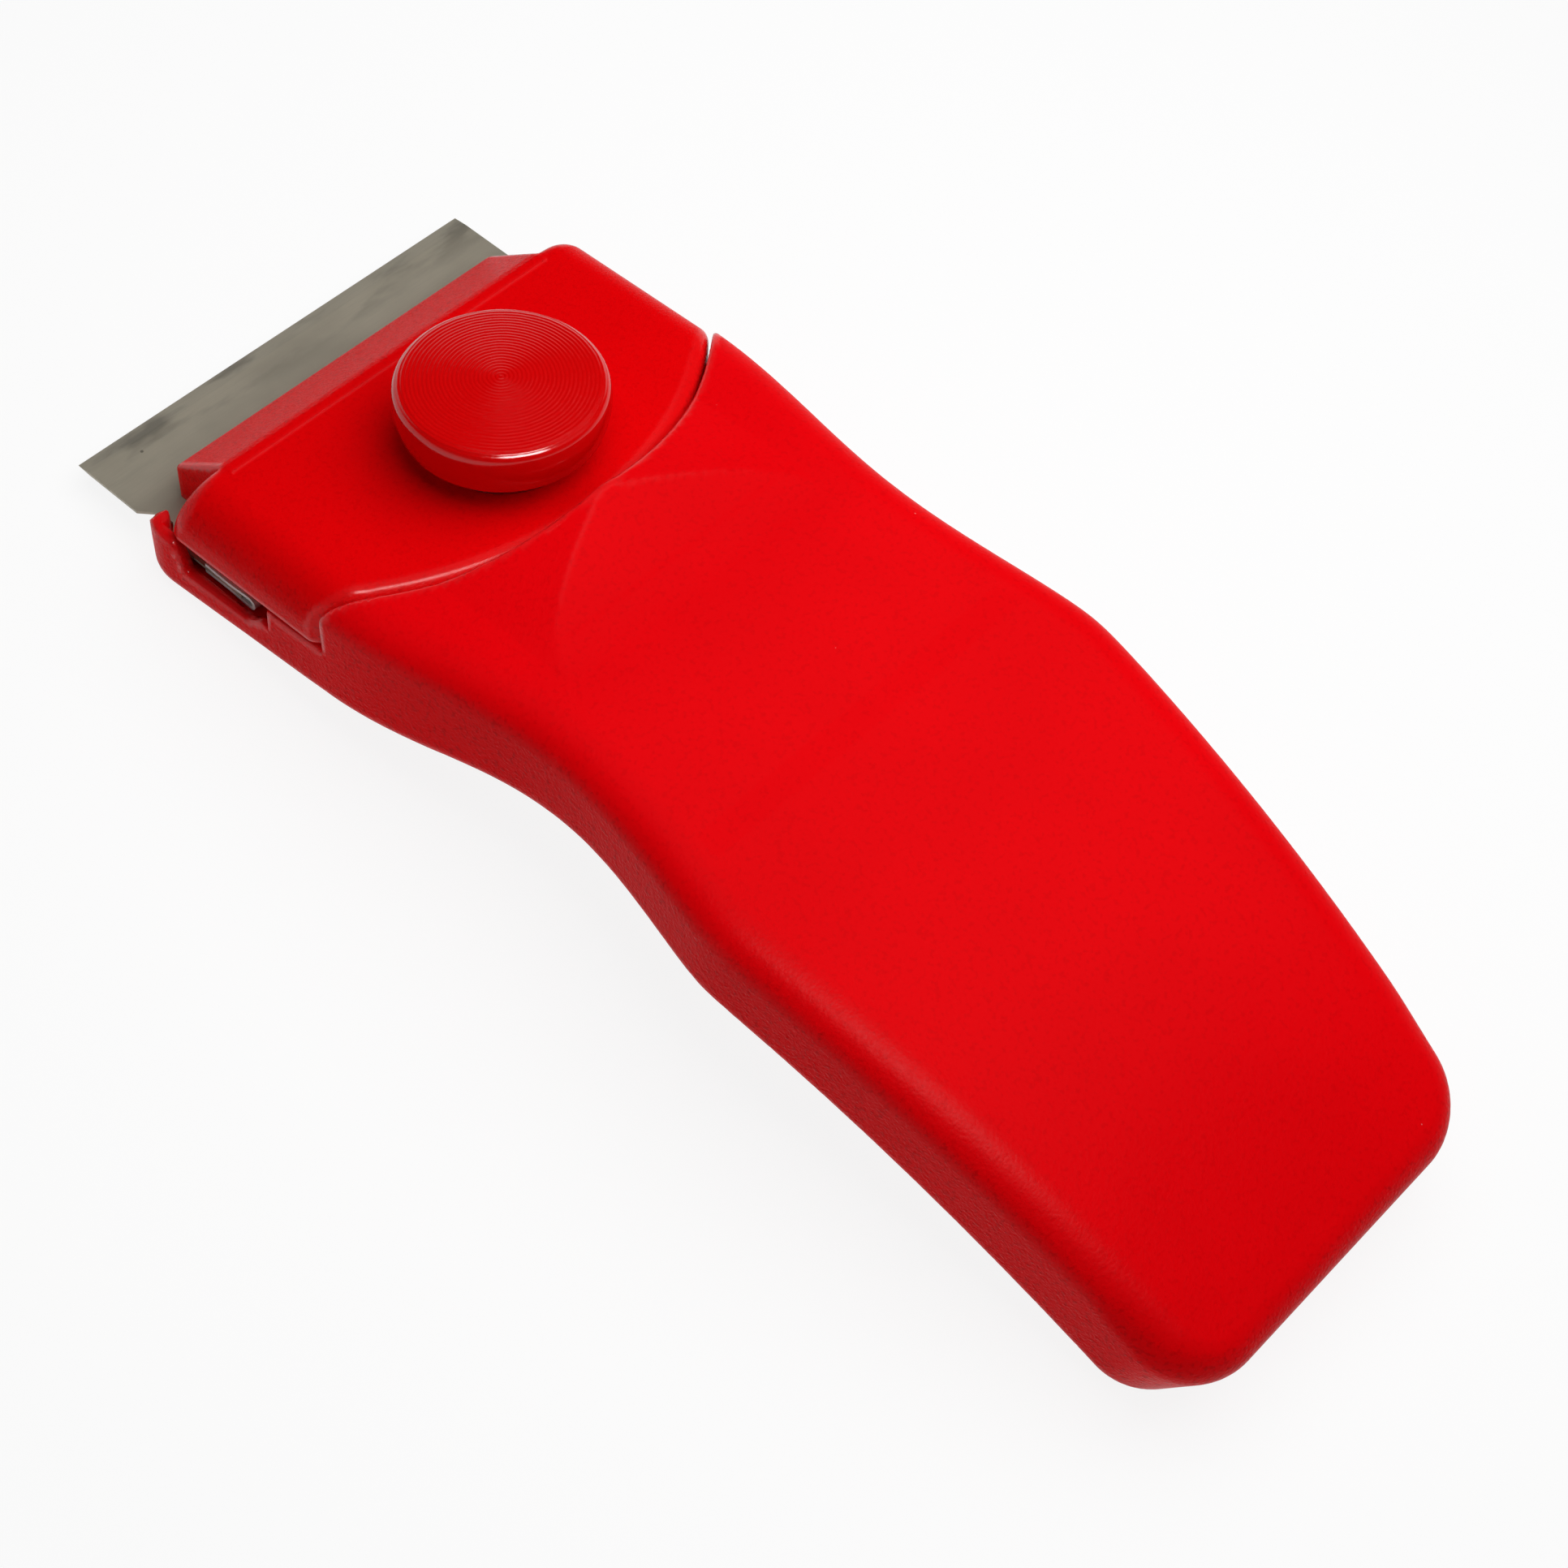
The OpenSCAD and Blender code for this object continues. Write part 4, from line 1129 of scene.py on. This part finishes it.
def knob_profile(k):
    """Half section of the knob from the end of its bore round to the middle of its top."""
    belly_share = 0.6
    hub_edge_r = 0.2
    hub_fillet = 0.4
    dome_steps = 24
    disc_z = k.low_z + k.hub_h
    belly_z = disc_z + belly_share * k.disc_h
    edge_z = disc_z + k.disc_h - k.edge_r
    barrel_x = k.disc_r - k.side_r
    low = math.asin((disc_z + k.low_edge_r - belly_z) / k.side_r)
    high = math.asin((edge_z - belly_z) / k.side_r)
    low_r = barrel_x + k.side_r * math.cos(low)
    top_r = barrel_x + k.side_r * math.cos(high)
    dome_r = (k.disc_r**2 + k.dome_h**2) / (2 * k.dome_h)
    dome_z = disc_z + k.disc_h + k.dome_h
    outline = [(0, k.bore_top), (k.bore_r, k.bore_top), (k.bore_r, k.low_z)]
    outline += arc((k.hub_r - hub_edge_r, k.low_z + hub_edge_r), hub_edge_r, -math.pi / 2, 0, 4)
    outline += arc((k.hub_r + hub_fillet, disc_z - hub_fillet), hub_fillet, math.pi, math.pi / 2, 5)
    outline += arc((low_r - k.low_edge_r, disc_z + k.low_edge_r), k.low_edge_r, -math.pi / 2, low, 6)
    outline += arc((barrel_x, belly_z), k.side_r, low, high, 16)[1:]
    rim_r = top_r - k.edge_r
    rim_z = dome_z - dome_r + math.sqrt(dome_r**2 - rim_r**2)
    tilt = math.asin(rim_r / dome_r)
    outline += arc((rim_r, rim_z - k.edge_r), k.edge_r, high, math.pi / 2 - tilt, 8)[1:]
    for i in range(1, dome_steps + 1):
        r = rim_r * (1 - i / dome_steps)
        outline.append((r, dome_z - dome_r + math.sqrt(dome_r**2 - r**2)))
    return outline


def spine_outline(p):
    """Closed section of the folded sheet: along the blade in X and over it in Y."""
    steps = 6
    grip = p.blade_t / 2 + p.sheet_t / 2
    loop_y = p.rear_y - p.sheet_t / 2 - p.loop_r
    middle = [(p.front_y, grip + p.lip_out)]
    for i in range(1, steps + 1):
        t = i / steps
        middle.append((blend(p.front_y, p.pinch_y, t), grip + p.lip_out * (1 - t) ** 2))
    for i in range(1, steps + 1):
        t = i / steps
        middle.append((blend(p.pinch_y, loop_y, t), ease(grip, p.loop_r, t)))
    middle += arc((loop_y, 0), p.loop_r, math.pi / 2, 0, 10)[1:]
    middle += [(y, -z) for y, z in reversed(middle[:-1])]
    path = np.array(middle)
    run = unit(np.gradient(path, axis=0))
    across = np.stack([-run[:, 1], run[:, 0]], axis=1) * p.sheet_t / 2
    outer = path + across
    inner = (path - across)[::-1]
    return np.concatenate([outer, inner])


def shaded(mesh, degrees):
    """Smooth shading that breaks at edges sharper than an angle."""
    mesh.polygons.foreach_set("use_smooth", np.ones(len(mesh.polygons), bool))
    mesh.set_sharp_from_angle(angle=math.radians(degrees))
    return mesh


# Operators

class SCRAPER_OT_mould_handle(bpy.types.Operator):
    """Moulds the arched handle with its thumb stop and blade seat"""

    bl_idname = "scraper.mould_handle"
    bl_label = "Mould handle"

    def execute(self, context):
        h = in_mm(settings().handle)
        k = in_mm(settings().inside)
        colour = settings().finishes.handle
        low = (-h.seat_half_w, h.seat_front, UNDER_Z)
        high = (h.seat_half_w, h.full_len, h.top_z + h.stop_h)
        piece = moulding("handle_moulding", handle_field(h, k), low, high, h.cell)
        finish = spark_plastic("handle_red", colour, rough=0.34, grain=0.24, depth=0.08)
        fitted(piece, "handle_shell", "handle", finish)
        return {"FINISHED"}


class SCRAPER_OT_fit_cover(bpy.types.Operator):
    """Fits the base cover into the underside of the handle"""

    bl_idname = "scraper.fit_cover"
    bl_label = "Fit base cover"

    def execute(self, context):
        h = in_mm(settings().handle)
        k = in_mm(settings().inside)
        colour = settings().finishes.cover
        low = (-h.swell_half_w, k.cover_from, UNDER_Z)
        high = (h.swell_half_w, k.cover_to, 0)
        piece = moulding("base_cover_plate", cover_field(h, k), low, high, COVER.cell)
        finish = spark_plastic("cover_red", colour, rough=0.48, grain=0.3, depth=0.035)
        fitted(piece, "base_cover", "handle", finish)
        return {"FINISHED"}


class SCRAPER_OT_drive_screws(bpy.types.Operator):
    """Drives the four slotted screws that hold the cover"""

    bl_idname = "scraper.drive_screws"
    bl_label = "Drive cover screws"

    def execute(self, context):
        h = in_mm(settings().handle)
        k = in_mm(settings().inside)
        points, leans = [], []
        for across, along in screw_stations(k):
            lean = (along - h.bend_y) / h.arch_r
            reach = h.arch_r - float(thickness(h, np.array(along))) + k.head_sink
            y = h.bend_y + reach * math.sin(lean)
            z = h.top_z - h.arch_r + reach * math.cos(lean)
            points.append((across * MM, y * MM, z * MM))
            leans.append(lean)
        stations = bpy.data.meshes.new("screw_stations")
        stations.from_pydata(points, [], [])
        marked(stations, "lean", leans)
        values = {
            "Shank Radius": k.screw_r * MM,
            "Shank Length": k.screw_len * MM,
            "Head Radius": k.screw_head_r * MM,
            "Head Height": k.screw_head_h * MM,
            "Slot Width": k.screw_slot * MM,
            "Material": drawn_metal("screw_steel", settings().finishes.steel, rough=0.3),
        }
        mesh = screw_group().made("cover_screw_set", stations, values)
        mesh.transform(HEAD)
        piece = linked("cover_screw_set", shaded(mesh, degrees=30))
        fitted(piece, "cover_screws", "handle")
        return {"FINISHED"}


class SCRAPER_OT_mould_cap(bpy.types.Operator):
    """Moulds the clamping cap with its bevelled nose"""

    bl_idname = "scraper.mould_cap"
    bl_label = "Mould cap"

    def execute(self, context):
        c = in_mm(settings().cap)
        h = in_mm(settings().handle)
        k = in_mm(settings().inside)
        colour = settings().finishes.cap
        foot = c.strip_top - c.nose_back * math.tan(h.seat_tilt)
        low = (-c.half_w, c.nose_front, foot)
        high = (c.half_w, h.recess_y + c.rear_r, c.top)
        piece = moulding("cap_moulding", cap_field(c, h, k), low, high, c.cell)
        finish = spark_plastic("cap_red", colour, rough=0.28, grain=0.22, depth=0.08)
        fitted(piece, "clamp_cap", "cap", finish)
        return {"FINISHED"}


class SCRAPER_OT_turn_knob(bpy.types.Operator):
    """Turns the knob that pulls the cap down"""

    bl_idname = "scraper.turn_knob"
    bl_label = "Turn knob"

    def execute(self, context):
        k = in_mm(settings().knob)
        colour = settings().finishes.knob
        profile = [(r * MM, 0, z * MM) for r, z in knob_profile(k)]
        finish = spark_plastic("knob_red", colour, rough=0.13, grain=0.2, depth=0.012, index=1.46, turned=k)
        values = {"Points": len(profile), "Segments": k.segments, "Material": finish}
        mesh = lathe_group().made("knob_turning", polyline("knob_profile", profile), values)
        mesh.transform(HEAD @ Matrix.Translation((0, KNOB_Y * MM, 0)))
        piece = linked("knob_turning", shaded(mesh, degrees=32))
        fitted(piece, "clamp_knob", "knob")
        return {"FINISHED"}


class SCRAPER_OT_fold_spine(bpy.types.Operator):
    """Folds the steel spine round the rear of the blade"""

    bl_idname = "scraper.fold_spine"
    bl_label = "Fold spine"

    def execute(self, context):
        p = in_mm(settings().spine)
        tilt = settings().handle.seat_tilt
        outline = [(y * MM, z * MM, 0) for y, z in spine_outline(p)]
        finish = drawn_metal("spine_bright", settings().finishes.spine, rough=0.4, metallic=0.2)
        values = {"Length": p.blade_w * MM, "Material": finish}
        mesh = prism_group().made("spine_fold", polyline("spine_section", outline, True), values)
        across = Matrix(((0, 0, 1, 0), (1, 0, 0, 0), (0, 1, 0, 0), (0, 0, 0, 1)))
        middle = Matrix.Translation((-p.blade_w * MM / 2, 0, p.blade_t * MM / 2))
        mesh.transform(HEAD @ Matrix.Rotation(-tilt, 4, "X") @ middle @ across)
        piece = linked("spine_fold", shaded(mesh, degrees=35))
        fitted(piece, "blade_spine", "handle")
        return {"FINISHED"}


class SCRAPER_OT_finish_metal(bpy.types.Operator):
    """Gives the blade, the stud, the pins and the insert their metal finishes"""

    bl_idname = "scraper.finish_metal"
    bl_label = "Finish metal parts"

    def execute(self, context):
        colours = settings().finishes
        dressed("razor_blade", blade_steel("blade_ground", colours.blade))
        steel = drawn_metal("fastener_bright", colours.steel, rough=0.3)
        for node in ("clamp_stud", "stud_clip", "knob_washer", "guide_pins"):
            dressed(node, steel)
        dressed("thread_insert", drawn_metal("insert_brass", colours.brass, rough=0.32))
        return {"FINISHED"}


class SCRAPER_OT_set_stage(bpy.types.Operator):
    """Lays the floor and sets the lamps, the surroundings and the camera"""

    bl_idname = "scraper.set_stage"
    bl_label = "Set stage"

    def execute(self, context):
        stage = settings().stage
        scene = context.scene
        scene.view_settings.view_transform = "Standard"
        self.lay_floor()
        self.light_surroundings(scene, stage)
        key = {"way": (-0.26, 0.0, 1), "distance": 0.15, "size": (0.2, 0.2), "mirrored": False}
        fill = {"way": (0.95, -0.1, 0.3), "distance": 0.55, "size": (0.3, 0.3), "mirrored": False}
        strip = {"way": (0.16, 0.25, 0.95), "distance": 0.45, "size": (0.26, 0.12), "mirrored": True}
        self.hang_lamp("key_lamp", stage.key_power, **key)
        self.hang_lamp("fill_lamp", stage.fill_power, **fill)
        self.hang_lamp("strip_lamp", stage.strip_power, **strip)
        self.stand_camera(scene, stage)
        return {"FINISHED"}

    def lay_floor(self):
        """A large white floor that keeps the object's shadow."""
        mesh = bpy.data.meshes.new("floor")
        half = 2.0
        low = -0.02 * MM
        glow_share = 0.88
        corners = [(-half, -half, low), (half, -half, low), (half, half, low), (-half, half, low)]
        mesh.from_pydata(corners, [], [(0, 1, 2, 3)])
        floor = linked("floor", mesh)
        matt_white = {"Base Color": (0.9, 0.9, 0.9, 1), "Roughness": 0.9}
        material, sheet, shader = surface("floor_white", matt_white)
        path = sheet.add("ShaderNodeLightPath", output="Is Camera Ray")
        seen = path.largest(path.output("Is Glossy Ray")).largest(path.output("Is Transmission Ray"))
        glow = sheet.add("ShaderNodeEmission", sockets={"Color": (1, 1, 1, 1), "Strength": 1.0})
        lit = Signal(sheet, shader.outputs[0])
        both = sheet.add("ShaderNodeMixShader", sockets={0: seen * glow_share, 1: lit, 2: glow})
        sheet.tree.links.new(both.socket, node_of(sheet.tree, "OUTPUT_MATERIAL").inputs["Surface"])
        mesh.materials.append(material)

    def light_surroundings(self, scene, stage):
        """Pale surroundings near the floor that get darker overhead."""
        world = bpy.data.worlds.new("studio")
        scene.world = world
        world.use_nodes = True
        sheet = Sheet(world.node_tree)
        pale_until = 0.05
        dark_from = 0.35
        height = sheet.parts(sheet.add("ShaderNodeTexCoord", output="Generated")).output("Z")
        level = stage.horizon + height.ramp(pale_until, dark_from) * (stage.zenith - stage.horizon)
        path = sheet.add("ShaderNodeLightPath", output="Is Camera Ray")
        level = level + path * (1 - level)
        shader = node_of(world.node_tree, "BACKGROUND")
        shader.inputs["Color"].default_value = (1, 1, 1, 1)
        world.node_tree.links.new(level.socket, shader.inputs["Strength"])

    def hang_lamp(self, name, power, way, distance, size, mirrored):
        """A lamp turned to the object: a mirrored one shows only in gloss, another lights only matt."""
        target = Vector((0, 0, 0.01))
        lamp = bpy.data.lights.new(name, "AREA")
        lamp.shape = "RECTANGLE"
        lamp.size, lamp.size_y = size
        lamp.energy = power
        holder = bpy.data.objects.new(name, lamp)
        bpy.context.scene.collection.objects.link(holder)
        away = Vector(way).normalized()
        holder.location = target + away * distance
        holder.visible_camera = False
        holder.visible_glossy = mirrored
        holder.visible_diffuse = not mirrored
        holder.rotation_euler = away.to_track_quat("Z", "Y").to_euler()

    def stand_camera(self, scene, stage):
        """The camera at the photograph's place."""
        data = bpy.data.cameras.new("camera")
        data.sensor_width = 36
        data.lens = stage.lens
        data.clip_start = 0.005
        camera = bpy.data.objects.new("camera", data)
        scene.collection.objects.link(camera)
        back = Vector(stage.camera_back).normalized()
        up = back.cross(Vector(stage.camera_right)).normalized()
        right = up.cross(back)
        turn = Matrix((right, up, back)).transposed().to_4x4()
        camera.matrix_world = Matrix.Translation(Vector(stage.camera_place)) @ turn
        scene.camera = camera


PIECES = (
    SCRAPER_OT_mould_handle,
    SCRAPER_OT_fit_cover,
    SCRAPER_OT_drive_screws,
    SCRAPER_OT_mould_cap,
    SCRAPER_OT_turn_knob,
    SCRAPER_OT_fold_spine,
    SCRAPER_OT_finish_metal,
    SCRAPER_OT_set_stage,
)


class SCRAPER_PT_build(bpy.types.Panel):
    """Lists the steps that build the scraper"""

    bl_idname = "SCRAPER_PT_build"
    bl_label = "Razor blade scraper"
    bl_space_type = "VIEW_3D"
    bl_region_type = "UI"
    bl_category = "Scraper"

    def draw(self, context):
        for piece in PIECES:
            self.layout.operator(piece.bl_idname)


CLASSES = (
    HandleSizes,
    InsideSizes,
    CapSizes,
    KnobSizes,
    SpineSizes,
    Finishes,
    StageSettings,
    ScraperSettings,
    *PIECES,
    SCRAPER_PT_build,
)


def register():
    """Registers the classes and the scene's settings."""
    for entry in CLASSES:
        bpy.utils.register_class(entry)
    bpy.types.Scene.scraper = PointerProperty(type=ScraperSettings)


def unregister():
    """Removes the settings and the classes."""
    del bpy.types.Scene.scraper
    for entry in reversed(CLASSES):
        bpy.utils.unregister_class(entry)


def main():
    """Builds every piece and the stage."""
    register()
    bpy.ops.scraper.mould_handle()
    bpy.ops.scraper.fit_cover()
    bpy.ops.scraper.drive_screws()
    bpy.ops.scraper.mould_cap()
    bpy.ops.scraper.turn_knob()
    bpy.ops.scraper.fold_spine()
    bpy.ops.scraper.finish_metal()
    bpy.ops.scraper.set_stage()


if __name__ == "__main__":
    main()
